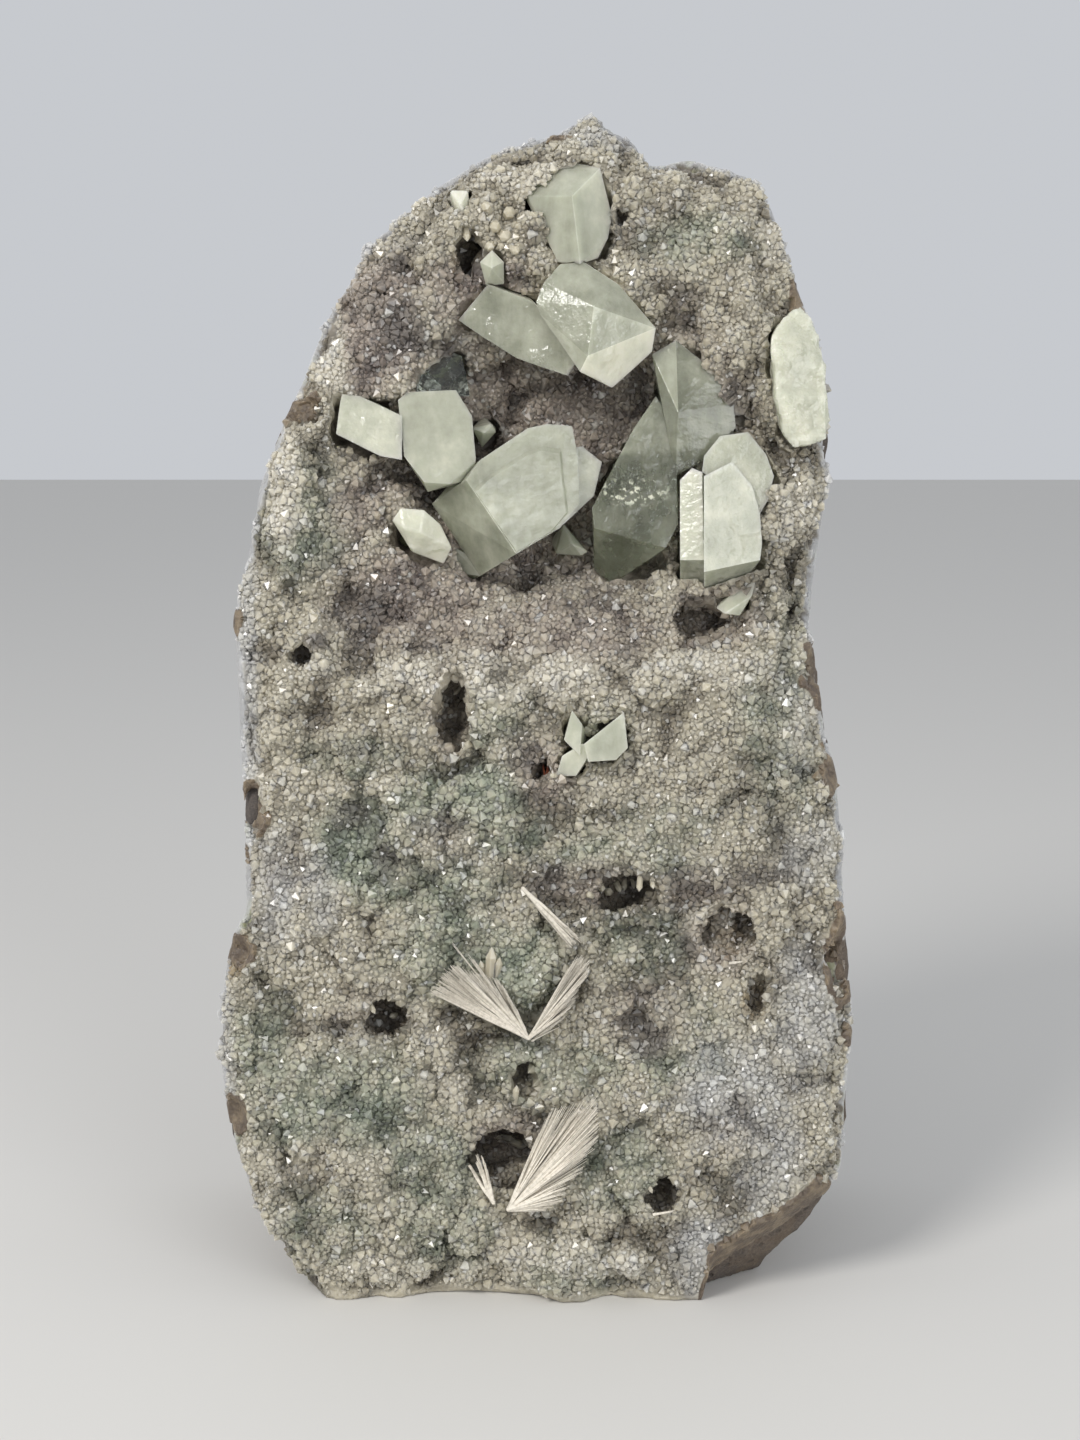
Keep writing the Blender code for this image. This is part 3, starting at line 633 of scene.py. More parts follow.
# Painted highlight: the brightest few grains are painted towards near white as glints
colour = (tint.step(0.9, 0.99) * 0.4).mix(colour, PAINTED_GLINT)
finished(colour.node("ShaderNodeBsdfPrincipled", None, {
    "Base Color": colour, "Roughness": (1 - tint) * 0.25 + 0.14, "IOR": 1.545,
    "Subsurface Weight": 0.95, "Subsurface Radius": (1.0, 1.0, 0.95), "Subsurface Scale": 3.2 * MM,
}))

point = quartz_point()
grains = Tree("quartz points", {
    "Spacing": "Float", "Smallest": "Float", "Largest": "Float", "Lean": "Float", "Seed": "Int",
})
points = grains.node("GeometryNodeDistributePointsOnFaces", {"distribute_method": "POISSON"}, {
    "Mesh": grains.size("Geometry"), "Distance Min": grains.size("Spacing"), "Density Max": MOST_GRAINS,
    "Density Factor": grains.node(
        "GeometryNodeInputNamedAttribute", {"data_type": "FLOAT"}, {"Name": "grain_here"}),
    "Seed": grains.size("Seed"),
})
upright = points.node.outputs["Rotation"]
back = grains.node("ShaderNodeMath", {"operation": "MULTIPLY"}, {0: grains.size("Lean"), 1: -1.0})
lean = grains.node("FunctionNodeRandomValue", {"data_type": "FLOAT_VECTOR"}, {
    "Min": grains.node("ShaderNodeCombineXYZ", None, {"X": back, "Y": back, "Z": 0.0}),
    "Max": grains.node("ShaderNodeCombineXYZ", None, {
        "X": grains.size("Lean"), "Y": grains.size("Lean"), "Z": math.tau}),
    "Seed": grains.size("Seed"),
})
turned = grains.node("FunctionNodeRotateRotation", {"rotation_space": "LOCAL"}, {
    "Rotation": upright, "Rotate By": grains.node("FunctionNodeEulerToRotation", None, {0: lean}),
})
share = grains.node("FunctionNodeRandomValue", {"data_type": "FLOAT"}, {2: 0.0, 3: 1.0, "Seed": 5}, 1)
few_large = grains.node("ShaderNodeMath", {"operation": "POWER"}, {0: share, 1: FEW_LARGE})
size = grains.node("ShaderNodeMapRange", None, {
    "Value": few_large, "To Min": grains.size("Smallest"), "To Max": grains.size("Largest"),
})
placed = grains.node("GeometryNodeInstanceOnPoints", None, {
    "Points": points, "Rotation": turned, "Scale": size,
    "Instance": grains.node("GeometryNodeObjectInfo", None, {"Object": point}, 4),
})
grain_tint = grains.node("FunctionNodeRandomValue", {"data_type": "FLOAT"}, {2: 0.0, 3: 1.0, "Seed": 9}, 1)
marked = grains.node(
    "GeometryNodeStoreNamedAttribute", {"data_type": "FLOAT", "domain": "INSTANCE"},
    {"Geometry": placed, "Name": "grain_tint", "Value": grain_tint},
)
grains.finish(marked, grain_finish)

for number, (low, high) in enumerate(GRAIN_BANDS):
    band = new_object(f"quartz_points_{number + 1}", crust.data.copy())
    store(band, "grain_here", covered * (face_places[:, 1] >= low) * (face_places[:, 1] < high))
    grains.run(band, {
        "Spacing": GRAIN_SPACING, "Smallest": GRAIN_SMALLEST, "Largest": GRAIN_LARGEST,
        "Lean": GRAIN_LEAN, "Seed": number,
    })
    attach(band, "root")
bpy.data.objects.remove(point)

# The larger clear crystals in and by the open pits: where each stands on the druse (across, up),
# which way it points (across, up, out), its width and its length in millimetres. Each has a ring
# of corners sunk in the druse and one at its shoulder, as shares of its length and its width.
LARGER_POINTS = [
    (16, 106, (0.2, -0.5, 0.8), 1.9, 3.2), (18.5, 104, (-0.3, 0.1, 1), 2.2, 2.8),
    (20, 106.5, (0.3, -0.7, 0.7), 1.8, 3.6), (22, 107.2, (0, -0.9, 0.5), 1.5, 3.4),
    (24, 107.4, (0.2, -1, 0.4), 1.2, 3.0), (26, 107.5, (-0.1, -1, 0.5), 1.6, 3.8),
    (29, 107, (0.1, -0.9, 0.6), 1.3, 2.6), (14, 103, (-0.5, 0.3, 0.8), 1.7, 2.4),
    (-5.2, 52, (0.1, 1, 0.5), 1.7, 4.6), (-6.6, 51.5, (-0.2, 1, 0.5), 1.1, 2.8),
    (-9, 42.8, (1, -0.1, 0.5), 2.4, 5.0), (-7, 42.2, (1, -0.35, 0.4), 2.2, 5.4),
    (-3, 41.6, (0.8, -0.3, 0.6), 1.8, 4.2), (-17.5, 270, (0.1, -1, 0.6), 2.0, 4.6),
    (-19.5, 269.5, (-0.2, -1, 0.6), 1.4, 3.6), (-10.5, 271, (0.2, -0.6, 1), 3.0, 4.0),
    (-8.5, 268.5, (0.4, -0.5, 1), 3.4, 4.6), (-11, 266, (-0.3, -0.6, 1), 2.6, 3.6),
    (-7, 273, (0.2, 0.2, 1), 3.2, 3.8), (-12, 274.5, (-0.3, 0.3, 1), 2.6, 3.4),
    (-6, 265, (0.5, -0.5, 0.8), 2.2, 3.4), (-34.5, 73.5, (-0.8, -0.2, 0.8), 1.6, 3.0),
    (-41.5, 76, (0.5, -0.8, 0.6), 1.4, 3.2), (-19, 155, (-0.6, -0.7, 0.6), 1.2, 3.0),
    (5, 133, (-0.6, 0.1, 0.8), 1.3, 2.6), (28, 31, (0.4, -0.8, 0.6), 1.2, 2.8),
    (-11.4, 82.5, (0.05, 1, 0.3), 3.0, 8.5), (-10.2, 83, (0.25, 1, 0.4), 2.2, 5.5),
    (-13, 83, (-0.2, 1, 0.4), 1.8, 4.5),
]
LARGER_RINGS = ((-0.25, 0.9), (0.68, 1.0))
LARGER_TINT = 0.82
EYE_DISTANCE = 560.0
crust_seen = BVHTree.FromPolygons(
    [Vector(place) for place in places], [tuple(p.vertices) for p in crust.data.polygons],
)


def seen_at(across, up):
    """The place on the druse that shows at a spot of the front view."""
    eye = Vector(from_face((*FACE_MIDDLE, EYE_DISTANCE)))
    towards = Vector(from_face((across, up, 0))) - eye
    return crust_seen.ray_cast(eye, towards.normalized())[0]


bm = bmesh.new()
for across, up, way, width, length in LARGER_POINTS:
    foot = seen_at(across, up)
    along = Vector(from_face(way) - FACE_FOOT).normalized()
    turn = along.to_track_quat("Z", "Y").to_matrix()
    rings = []
    for far, share in LARGER_RINGS:
        radius = width * share / 2
        corners = [
            (math.cos(math.tau * i / 6) * radius, math.sin(math.tau * i / 6) * radius, far * length)
            for i in range(6)
        ]
        rings.append([bm.verts.new(foot + turn @ (Vector(corner) * MM)) for corner in corners])
    tip = bm.verts.new(foot + along * length * MM)
    bm.faces.new(rings[0][::-1])
    for i in range(6):
        bm.faces.new((rings[0][i - 1], rings[0][i], rings[1][i], rings[1][i - 1]))
        bm.faces.new((rings[1][i - 1], rings[1][i], tip))
bmesh.ops.recalc_face_normals(bm, faces=bm.faces)
mesh = bpy.data.meshes.new("larger_points")
bm.to_mesh(mesh)
bm.free()
larger = new_object("larger_points", mesh)
store(larger, "grain_tint", np.full(len(mesh.vertices), LARGER_TINT))
larger.data.materials.append(grain_finish)
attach(larger, "root")

# The basalt matrix: the slab of lava that the crust grew on, broken rough behind and at the
# sides, fresh and flat across the lower right corner, and bare where the crust is chipped.
BASALT_VOXEL = 2.0 * MM
BASALT_SMOOTHING = 3
# The scoops of its break and its finer roughness, as a size and a depth in millimetres. Both
# fade out towards the foot, and the scoops also towards the crust and the flat break.
BASALT_SCOOPS = ((30.0, 2.6), (13.0, 1.5))
BASALT_ROUGHNESS = ((9.0, 1.0), (4.0, 0.6))
CRUST_FADE = 7 * MM
BREAK_FADE = 5
FOOT_FADE = 10 * MM
DARK_BASALT = rgb(78, 70, 64)
PALE_BASALT = rgb(114, 103, 92)
BROWN_STAIN = rgb(124, 104, 80)
GREY_STAIN = rgb(84, 80, 79)
DUST = rgb(146, 135, 120)
# Painted shade: the dark in the middles of the small gas-bubble pores
PORE_SHADE = rgb(58, 52, 47)
basalt = remeshed(copy_of("basalt_matrix", "basalt_slab"), BASALT_VOXEL, BASALT_SMOOTHING)
places = corners_of(basalt)
off_crust = smooth_step(1 * MM, CRUST_FADE, distance_to(["druzy_quartz_crust"], places, CRUST_FADE))
off_break = smooth_step(1.5, BREAK_FADE, np.abs((to_face(places) - BREAK_POINT) @ BREAK_NORMAL))
rough = np.zeros(len(places))
for number, (size, depth) in enumerate(BASALT_SCOOPS):
    rough -= depth * lumps_at(places, size * MM, number + 60) * off_crust * off_break
for number, (size, height) in enumerate(BASALT_ROUGHNESS):
    rough += height * noise_at(places, size * MM, number + 20)
rough *= smooth_step(0.2 * MM, FOOT_FADE, places[:, 2]) * MM
places += normals_of(basalt) * rough[:, None]
places[:, 2] = np.maximum(places[:, 2], 0)
put_corners(basalt, places)

basalt_finish, place = new_finish("broken basalt")
speckle = place.cloud(0.7 * MM, 3, 0.7)
stain = place.cloud(22 * MM, 5, 0.65)
colour = speckle.step(0.35, 0.7).mix(DARK_BASALT, PALE_BASALT)
colour = (stain.step(0.5, 0.68) * 0.4).mix(colour, BROWN_STAIN)
colour = (stain.step(0.5, 0.36) * 0.55).mix(colour, GREY_STAIN)
dust = place.cloud(6 * MM, 5, 0.7).step(0.56, 0.72)
colour = (dust * 0.25).mix(colour, DUST)
# The gas bubbles are small dents in the bump, and their middles are painted dark as shade
bubbles = place.node("ShaderNodeTexVoronoi", None, {"Vector": place, "Scale": 1 / (5.5 * MM)})
bubbles = bubbles.step(0.12, 0.2)
grit = place.cloud(0.8 * MM, 5, 0.75) + place.cloud(5 * MM, 4, 0.6) * 3 + bubbles * 1.6
finished(colour.node("ShaderNodeBsdfPrincipled", None, {
    "Base Color": (bubbles * 0.45 + 0.55).step(0, 1).mix(PORE_SHADE, colour),
    "Roughness": speckle * 0.3 + 0.62, "Normal": grit.bump(0.45 * MM),
}))
basalt.data.materials.clear()
basalt.data.materials.append(basalt_finish)
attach(basalt, "root")
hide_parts("basalt_matrix")

# The apophyllites: pale green blocks and blades that grew in the upper hollow, milky white in
# some parts and clear in others. Each cluster is one piece of the frame. Here the edges are a
# little worn, the centre crystal gets a low ledge of growth, and the one on the edge gets lumps.
EDGE_WEAR = 0.3 * MM
WORN_ANGLE = math.radians(15)
FLAT_ANGLE = math.radians(1.5)
CLEAR_IOR = 1.535
LEDGED = ("apophyllite_centre",)
LEDGE_HEIGHT = 0.4 * MM
LEDGE_SHARE = (0.74, 0.86)
LUMPY = ("apophyllite_right_edge",)
LUMP_VOXEL = 0.9 * MM
LUMP_SMOOTHING = 3
LUMP_SINK = 0.3
CRYSTAL_LUMPS = ((9.0, 0.9), (3.0, 0.2))
# How strongly the faces of a crystal are crumpled, so that they sparkle
CRUMPLED = {
    "apophyllite_right_edge": 1.0, "apophyllite_upper_pair": 0.7, "apophyllite_small_left": 0.8,
    "apophyllite_right_cluster": 0.6, "apophyllite_left_cluster": 0.35, "apophyllite_drop_crystal": 1.0,
    "apophyllite_centre": 0.2, "apophyllite_blades": 0.45, "apophyllite_top_tooth": 0.15,
}
LIT_SIDE = Vector((-0.25, 0.45, 0.85)).normalized()
WHITE_GREEN = rgb(220, 218, 200)
PALE_GREEN = rgb(184, 185, 168)
DEEP_GREEN = rgb(148, 150, 128)
CLEAR_GREEN = rgb(246, 250, 245)
BODY_GREEN = rgb(218, 228, 212)
BODY_DENSITY = 24.0
CLEAR_FADE = 2.5 * MM
NEVER = -1.0
# How milky a crystal is painted on its sides turned to the light, how milky on its sides turned away, and
# the height in metres below which it is clear. Besides the crystal's own cloudiness this is painted light:
# the sides turned to the light are painted whiter, and where the second number is the larger, the shaded
# sides are painted lighter
MILK_AND_LIGHT = {
    "apophyllite_top_tooth": (0.75, 1.0, NEVER), "apophyllite_upper_pair": (0.66, 1.4, NEVER),
    "apophyllite_left_cluster": (0.79, 0.8, NEVER), "apophyllite_centre": (0.74, 0.45, NEVER),
    "apophyllite_small_left": (1.25, 1.3, NEVER), "apophyllite_small_tooth": (0.95, 0.8, NEVER),
    "apophyllite_glassy_tip": (0.8, 0.6, NEVER), "apophyllite_blades": (0.46, 0.44, 0.211),
    "apophyllite_right_cluster": (0.86, 0.6, NEVER), "apophyllite_flat_chip": (0.8, 0.7, NEVER),
    "apophyllite_right_edge": (1.05, 0.95, NEVER), "apophyllite_lower_group": (0.86, 0.85, NEVER),
    "apophyllite_drop_crystal": (1.4, 1.2, NEVER), "apophyllite_clear_prism": (0.9, 0.7, NEVER),
}
# The single faces that differ, as across, up, reach and milk: the dark prism behind the left
# cluster, the clearer block of the upper pair, the side block of the right cluster, the left
# block of the left cluster, a facet of the top tooth, the block at the right of the cluster, the
# right end of the centre crystal, and the top of the right blade
ODD_FACES = (
    (-23, 236, 7.5, -0.2), (-4.3, 242.3, 8, 0.62), (38.8, 198.5, 4.5, 1.15), (-42, 220, 6, 0.95),
    (13, 279, 3, 0.5), (56, 212, 6, 1.05), (13.5, 207, 4, 0.95), (36, 239.5, 6, 0.72),
)

# The band of small glints across the left blade: its middle, and one over its half lengths
GLINTS = (24 * MM, 0.0, 201 * MM)
GLINTS_REACH = (1 / (9 * MM), 0.0, 1 / (3.4 * MM))

apophyllite_finish, place = new_finish("apophyllite")
height = place.node("ShaderNodeSeparateXYZ", None, {0: place}, 2)
veil = place.cloud(9 * MM, 5, 0.6) - 0.5
drawn_out = place.node("ShaderNodeMapping", None, {
    "Vector": place, "Rotation": (0.4, 0.2, 0.6), "Scale": (1.0, 1.0, 0.2),
})
streak = drawn_out.cloud(2.4 * MM, 4, 0.6) - 0.5
above = (height - place.read("clear_below") + veil * 6 * MM) * (1 / CLEAR_FADE)
# The milk is partly the crystal's own cloudiness and partly painted light on the faces turned to the light
milk_and_light = place.read("milk_and_light") * (above.step(-0.6, 0.6) * 0.45 + 0.55)
away = place.node("ShaderNodeVectorMath", {"operation": "SUBTRACT"}, {0: place, 1: GLINTS})
away = place.node("ShaderNodeVectorMath", {"operation": "MULTIPLY"}, {0: away, 1: GLINTS_REACH})
away = place.node("ShaderNodeVectorMath", {"operation": "LENGTH"}, {0: away}, 1)
glints = away.step(1.3, 0.5) * place.cloud(1.4 * MM, 3, 0.6).step(0.5, 0.64)
milk_and_light = milk_and_light + glints
milky_share = (milk_and_light + veil * 0.7 + streak * 0.25).step(-0.2, 1.1)
shade = (veil * 0.7 + milk_and_light * 0.9 + streak * 0.2).step(0.0, 0.9).mix(DEEP_GREEN, PALE_GREEN)
shade = (milk_and_light + veil * 1.2 + streak * 0.2).step(0.8, 1.5).mix(shade, WHITE_GREEN)
plates = place.node("ShaderNodeTexVoronoi", {"distance": "MANHATTAN"}, {
    "Vector": drawn_out, "Scale": 1 / (5 * MM),
})
crumple = place.cloud(1.8 * MM, 3, 0.6) * place.cloud(8 * MM, 2, 0.5).step(0.56, 0.7)
crumple = (crumple * 2 + place.cloud(1.2 * MM, 2, 0.5) * 0.8) * place.read("crumpled")
relief = (plates * 0.35 + place.cloud(4 * MM, 3, 0.5) + crumple * 2 + glints).bump(0.2 * MM)
milky = place.node("ShaderNodeBsdfPrincipled", None, {
    "Base Color": shade, "Roughness": 0.2, "IOR": CLEAR_IOR, "Normal": relief,
    "Subsurface Weight": 1.0, "Subsurface Radius": (0.92, 1.0, 0.9), "Subsurface Scale": 6.0 * MM,
})
clear = place.node("ShaderNodeBsdfPrincipled", None, {
    "Base Color": CLEAR_GREEN, "Roughness": 0.06, "IOR": CLEAR_IOR,
    "Transmission Weight": 1.0, "Normal": relief,
})
surface = place.node("ShaderNodeMixShader", None, {0: milky_share, 1: clear, 2: milky})
body = place.node("ShaderNodeVolumeAbsorption", None, {"Color": BODY_GREEN, "Density": BODY_DENSITY})
finished(surface, body)


def grow_ledge(bm, face, chance):
    """Raises a flat ledge on a face: a smaller copy of it, drawn towards its lowest corner."""
    lowest = min(face.verts, key=lambda vert: vert.co.z)
    anchor = lowest.co.lerp(face.calc_center_median(), 0.1)
    rise = face.normal * LEDGE_HEIGHT
    outer = list(face.verts)
    foot = [bm.verts.new(anchor.lerp(vert.co, chance.uniform(*LEDGE_SHARE))) for vert in outer]
    top = [bm.verts.new(vert.co.lerp(anchor, 0.05) + rise) for vert in foot]
    for i in range(len(outer)):
        bm.faces.new((outer[i - 1], outer[i], foot[i], foot[i - 1]), face)
        bm.faces.new((foot[i - 1], foot[i], top[i], top[i - 1]), face)
    bm.faces.new(top, face)
    bm.faces.remove(face)


def is_convex(face):
    """Whether every corner of a face turns the same way."""
    corners = [vert.co for vert in face.verts]
    for i, corner in enumerate(corners):
        turn = (corner - corners[i - 1]).cross(corners[(i + 1) % len(corners)] - corner)
        if turn.dot(face.normal) < -1e-12:
            return False
    return True


chance = random.Random(11)
for node in [name for name in nodes if name.startswith("apophyllite")]:
    crystal = copy_of(node, node.replace("apophyllite", "crystal"))
    if node in LUMPY:
        crystal = remeshed(crystal, LUMP_VOXEL, LUMP_SMOOTHING)
        places = corners_of(crystal)
        swell = -LUMP_SINK * np.ones(len(places))
        for number, (size, height) in enumerate(CRYSTAL_LUMPS):
            swell += height * lumps_at(places, size * MM, number + 3)
        put_corners(crystal, places + normals_of(crystal) * (swell * MM)[:, None])
    bm = bmesh.new()
    bm.from_mesh(crystal.data)
    if node not in LUMPY:
        bmesh.ops.dissolve_limit(bm, angle_limit=FLAT_ANGLE, verts=bm.verts, edges=bm.edges)
    bm.normal_update()
    lit_side_milk, shaded_side_milk, clear_below = MILK_AND_LIGHT[node]
    milk_and_light = bm.faces.layers.float.new("milk_and_light")
    below = bm.faces.layers.float.new("clear_below")
    crumpled = bm.faces.layers.float.new("crumpled")
    for face in bm.faces:
        across, up, out = to_face(FACE_FOOT + np.array(face.normal) * MM)
        middle = to_face(np.array(face.calc_center_median()))
        # Painted light: the faces turned towards the light are painted milkier and whiter, the others
        # clearer
        lit = smooth_step(0.35, 0.75, LIT_SIDE.dot((across, up, out)))
        face[milk_and_light] = shaded_side_milk + (lit_side_milk - shaded_side_milk) * lit
        for spot_across, spot_up, reach, spot_milk in ODD_FACES:
            if math.hypot(middle[0] - spot_across, middle[1] - spot_up) < reach:
                face[milk_and_light] = spot_milk
        face[crumpled] = CRUMPLED.get(node, 0.0)
        face[below] = clear_below
    if node in LEDGED:
        broad = max((face for face in bm.faces if is_convex(face)), key=lambda face: face.calc_area())
        grow_ledge(bm, broad, chance)
        bm.normal_update()
    bm.to_mesh(crystal.data)
    bm.free()
    if node not in LUMPY:
        bevel = crystal.modifiers.new("worn edges", "BEVEL")
        bevel.width = EDGE_WEAR
        bevel.segments = 1
        bevel.limit_method = "ANGLE"
        bevel.angle_limit = WORN_ANGLE
        settle(crystal)
    crystal.data.materials.clear()
    crystal.data.materials.append(apophyllite_finish)
    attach(crystal, "root")
    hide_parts(node)

# The scolecite sprays: silky white needles that fan out from one root on the druse, hair thin
# at their tips. Each spray has its needles' thickness and its fans: the root and the tips, as
# across and up where they show from the front, the count, and how far out its needles spread.
NEEDLE_SIDES = 4
BUNDLE_SIZE = 16
NEEDLE_TIP = 0.05 * MM
SPRAYS = {
    "scolecite_upper_spray": (0.2, [
        ((-1.9, 67.3), [(-27, 79), (-24.5, 82.5), (-23, 85.5), (-20.5, 86), (-13.8, 84), (-9.5, 82.5),
                        (-5, 75)], 900, 5.0),
        ((-1.9, 67.3), [(-26.2, 98), (-24, 95), (-16.7, 89.6), (-21, 91)], 16, 4.0),
        ((-1.9, 67.3), [(4, 70.5), (9.5, 76), (13, 83), (14, 88), (11, 89.5)], 520, 5.0),
        ((-1, 66.8), [(7, 71), (8, 74)], 10, 3.0),
    ]),
    "scolecite_crossing_bundle": (0.24, [
        ((-3.4, 105.0), [(9.0, 89.8), (10.4, 90.6), (11.9, 91.5)], 300, 2.2),
    ]),
    "scolecite_lower_spray": (0.28, [
        ((-7.0, 24.5), [(0.3, 42.5), (3.8, 49.5), (8, 51), (15.8, 53.5), (16.2, 44.2), (13.2, 35.5),
                        (8.5, 27.4), (2.5, 24.4)], 560, 6.0),
    ]),
    "scolecite_small_fan": (0.28, [
        ((-10.6, 26.2), [(-17.5, 35.2), (-16, 37.8), (-13.8, 39.2), (-12.4, 35)], 170, 3.0),
    ]),
}
# How uneven the needles are: the bundles' reach and lift, and then each needle's own turn, reach,
# lift and waver in millimetres
BUNDLE_REACH = 0.34
BUNDLE_LIFT = 0.45
NEEDLE_TURN = 0.03
NEEDLE_REACH = 0.16
NEEDLE_LIFT = 0.12
NEEDLE_WAVER = 0.22
DULL_WHITE = rgb(206, 198, 182)
SILKY_WHITE = rgb(236, 228, 213)
# Painted shade: the needles are painted darker above this height, on the upper spray
SHADED_ABOVE = (58 * MM, 68 * MM)

needle_finish, place = new_finish("silky scolecite")
streak = place.cloud(0.8 * MM, 2, 0.5)
colour = streak.step(0.25, 0.6).mix(DULL_WHITE, SILKY_WHITE)
height = place.node("ShaderNodeSeparateXYZ", None, {0: place}, 2)
# Painted shade: darker on the upper spray
colour = colour.scaled(1 - height.step(*SHADED_ABOVE) * 0.14)
finished(colour.node("ShaderNodeBsdfPrincipled", None, {
    "Base Color": colour, "Roughness": 0.34, "Sheen Weight": 0.2,
}))

needles = Tree("needles", {"Thickness": "Float", "Sides": "Int"})
along = needles.node("GeometryNodeSplineParameter", None, None, 0)
taper = needles.node("ShaderNodeMapRange", None, {
    "Value": along, "From Min": 0.35, "From Max": 1.0, "To Min": needles.size("Thickness"),
    "To Max": NEEDLE_TIP,
})
lines = needles.node("GeometryNodeMeshToCurve", None, {"Mesh": needles.size("Geometry")})
ring = needles.node("GeometryNodeCurvePrimitiveCircle", {"mode": "RADIUS"}, {
    "Resolution": needles.size("Sides"), "Radius": 1.0,
})
rods = needles.node("GeometryNodeCurveToMesh", None, {
    "Curve": lines, "Profile Curve": ring, "Scale": taper, "Fill Caps": True,
})
needles.finish(rods, needle_finish)


def lay_needles(bm, fan, middle_out, chance):
    """Straight lines for one fan, in bundles of uneven length, as seen from the front."""
    root, tips, count, spread = fan
    bundles = []
    for _ in range(max(3, count // BUNDLE_SIZE)):
        turn = chance.random()
        reach = 1 - BUNDLE_REACH * chance.random() ** 1.6
        bundles.append((turn, reach, chance.uniform(-BUNDLE_LIFT, BUNDLE_LIFT)))
    for _ in range(count):
        turn, reach, lift = bundles[chance.randrange(len(bundles))]
        turn = min(max(turn + chance.gauss(0, NEEDLE_TURN), 0), 0.999) * (len(tips) - 1)
        reach *= 1 - NEEDLE_REACH * chance.random() ** 2
        lift += chance.uniform(-NEEDLE_LIFT, NEEDLE_LIFT)
        first = int(turn)
        share = turn - first
        tip = [a + (b - a) * share for a, b in zip(tips[first], tips[first + 1])]
        ends = []
        for part in (0.0, 0.4, 1.0):
            waver = [chance.uniform(-NEEDLE_WAVER, NEEDLE_WAVER) for _ in range(2)]
            out = middle_out + lift * spread * (0.25 + part)
            near = 1 - out / EYE_DISTANCE
            seen = [a + (b - a) * part * reach + c for a, b, c in zip(root, tip, waver)]
            spot = [middle + (far - middle) * near for middle, far in zip(FACE_MIDDLE, seen)]
            ends.append(bm.verts.new(from_face((*spot, out))))
        bm.edges.new(ends[:2])
        bm.edges.new(ends[1:])


def needle_piece(name, fans, middle_out, thickness):
    """The needles of some fans as one piece, a middle distance out for each fan."""
    bm = bmesh.new()
    for fan, out in zip(fans, middle_out):
        lay_needles(bm, fan, out, chance)
    mesh = bpy.data.meshes.new(name)
    bm.to_mesh(mesh)
    bm.free()
    made = new_object(name, mesh)
    needles.run(made, {"Thickness": thickness * MM, "Sides": NEEDLE_SIDES})
    return made


chance = random.Random(4)
for node, (thickness, fans) in SPRAYS.items():
    low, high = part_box(node)
    middle = float(to_face((np.array(low) + np.array(high)) / 2)[2])
    spray = needle_piece(node.replace("scolecite", "needles"), fans, [middle] * len(fans), thickness)
    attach(spray, "root")
    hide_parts(node)

# The small single needles, laid on the druse as it grew: two loose white ones by the pits, and a
# tuft of rusty hairs in one pit. They are given as the sprays are.
TUFTS = {
    "loose_needles": (0.26, [
        ((48.4, 86.2), [(52, 86.9), (52.2, 86.4)], 8, 0.6),
        ((29.4, 23.4), [(35, 24.6), (35, 24)], 6, 0.6),
    ]),
    "rusty_hairs": (0.16, [((2.6, 130.6), [(1.4, 136.8), (3.4, 137.4)], 14, 1.2)]),
}
TUFT_HEIGHT = 1.2
DARK_RUST = rgb(112, 56, 34)
PALE_RUST = rgb(150, 84, 54)
rust_finish, place = new_finish("rusty hairs")
colour = place.cloud(1 * MM, 2, 0.5).step(0.35, 0.65).mix(DARK_RUST, PALE_RUST)
finished(colour.node("ShaderNodeBsdfPrincipled", None, {"Base Color": colour, "Roughness": 0.45}))
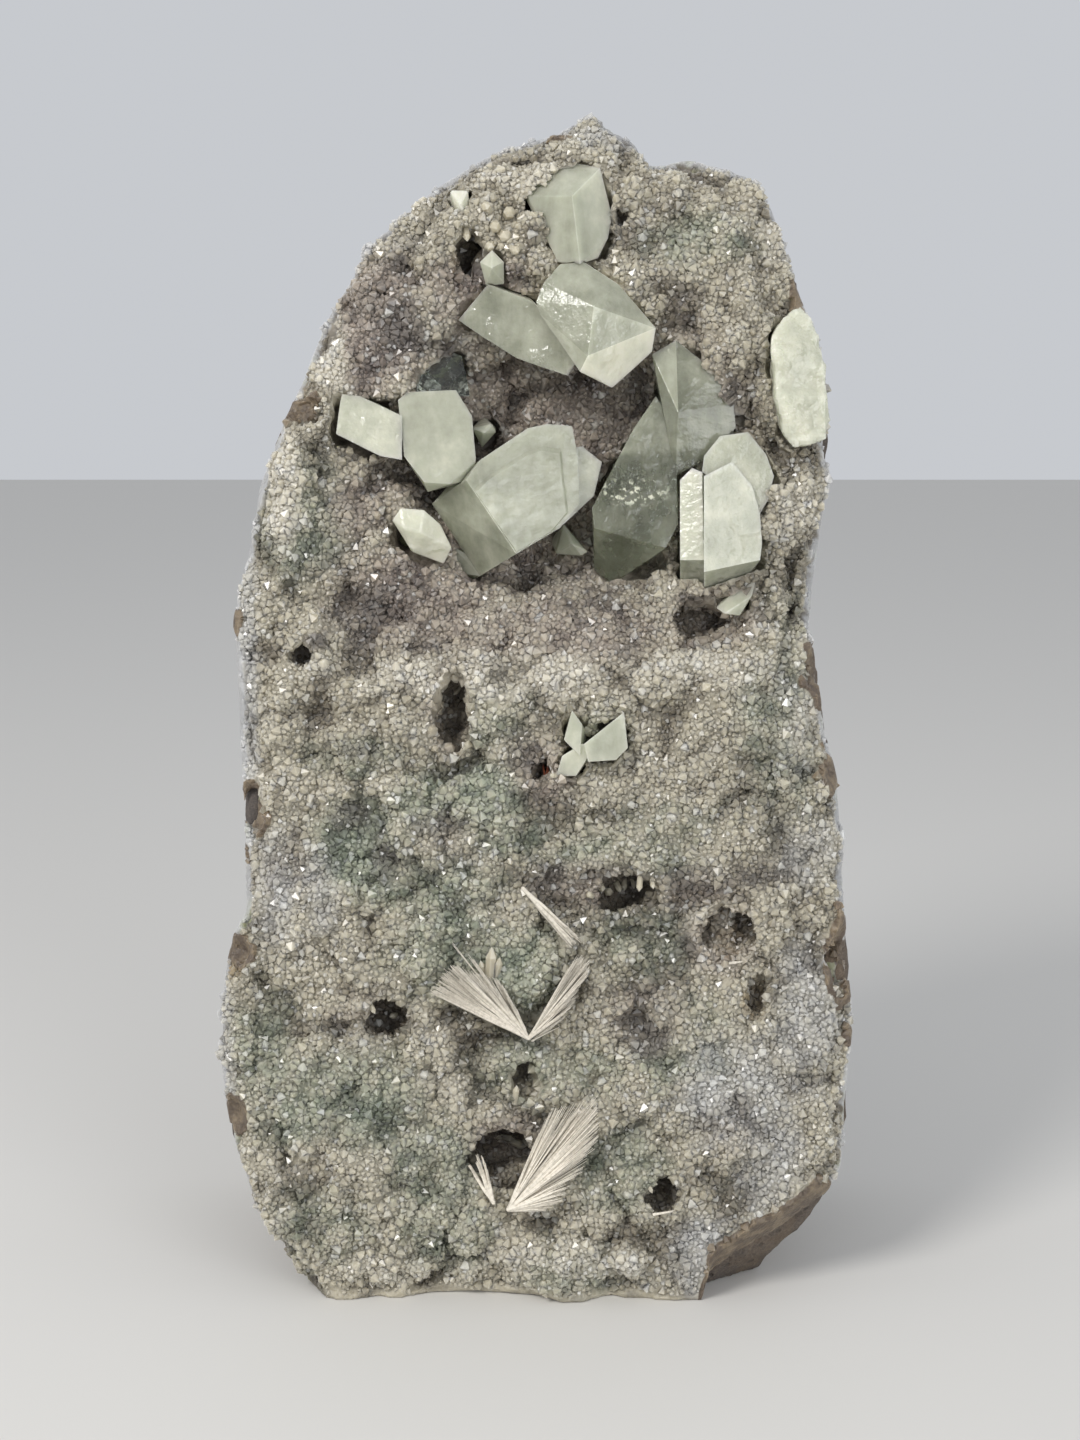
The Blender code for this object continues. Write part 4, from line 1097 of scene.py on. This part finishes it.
for name, (thickness, fans) in TUFTS.items():
    middles = [float(to_face(np.array(seen_at(*fan[1][0])))[2]) + TUFT_HEIGHT for fan in fans]
    tuft = needle_piece(name, fans, middles, thickness)
    if name == "rusty_hairs":
        tuft.data.materials[0] = rust_finish
    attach(tuft, "root")

# The studio: a pale matt floor, one large soft light from the upper left front, a weak soft fill
# from the right, and the camera level with the specimen's middle, square to its leaning face.
FLOOR_HALF_WIDTH = 3.0
FLOOR_GREY = rgb(214, 212, 208)
LIT_SPOT = (0, 0, 0.15)
SKY_COLOUR = (0.92, 0.95, 1.0, 1.0)
SKY_STRENGTH = 0.62
SENSOR_HEIGHT = 36
LENS = 56
floor_mesh = bpy.data.meshes.new("floor")
bm = bmesh.new()
bmesh.ops.create_grid(bm, x_segments=1, y_segments=1, size=FLOOR_HALF_WIDTH)
bm.to_mesh(floor_mesh)
bm.free()
floor = new_object("floor", floor_mesh)
floor_finish, place = new_finish("pale floor")
finished(place.node("ShaderNodeBsdfPrincipled", None, {"Base Color": FLOOR_GREY, "Roughness": 0.8}))
floor.data.materials.append(floor_finish)


def soft_light(name, place, size, power, colour):
    data = bpy.data.lights.new(name, "AREA")
    data.shape = "DISK"
    data.size = size
    data.energy = power
    data.color = colour
    lamp = new_object(name, data)
    lamp.location = place
    lamp.rotation_euler = (Vector(LIT_SPOT) - Vector(place)).to_track_quat("-Z", "Y").to_euler()


soft_light("key", place=(-0.72, -0.85, 0.98), size=0.5, power=11.5, colour=(1.0, 0.98, 0.95))
soft_light("fill", place=(0.7, -1.15, 0.5), size=0.9, power=7.0, colour=(0.96, 0.98, 1.0))

world = bpy.data.worlds.new("studio")
world.use_nodes = True
world.node_tree.nodes["Background"].inputs["Color"].default_value = SKY_COLOUR
world.node_tree.nodes["Background"].inputs["Strength"].default_value = SKY_STRENGTH
bpy.context.scene.world = world
bpy.context.scene.view_settings.view_transform = "Standard"

camera_data = bpy.data.cameras.new("camera")
camera_data.sensor_fit = "VERTICAL"
camera_data.sensor_height = SENSOR_HEIGHT
camera_data.lens = LENS
camera = new_object("camera", camera_data)
camera.location = from_face((*FACE_MIDDLE, EYE_DISTANCE))
camera.rotation_euler.x = math.radians(90) - FACE_LEAN
bpy.context.scene.camera = camera
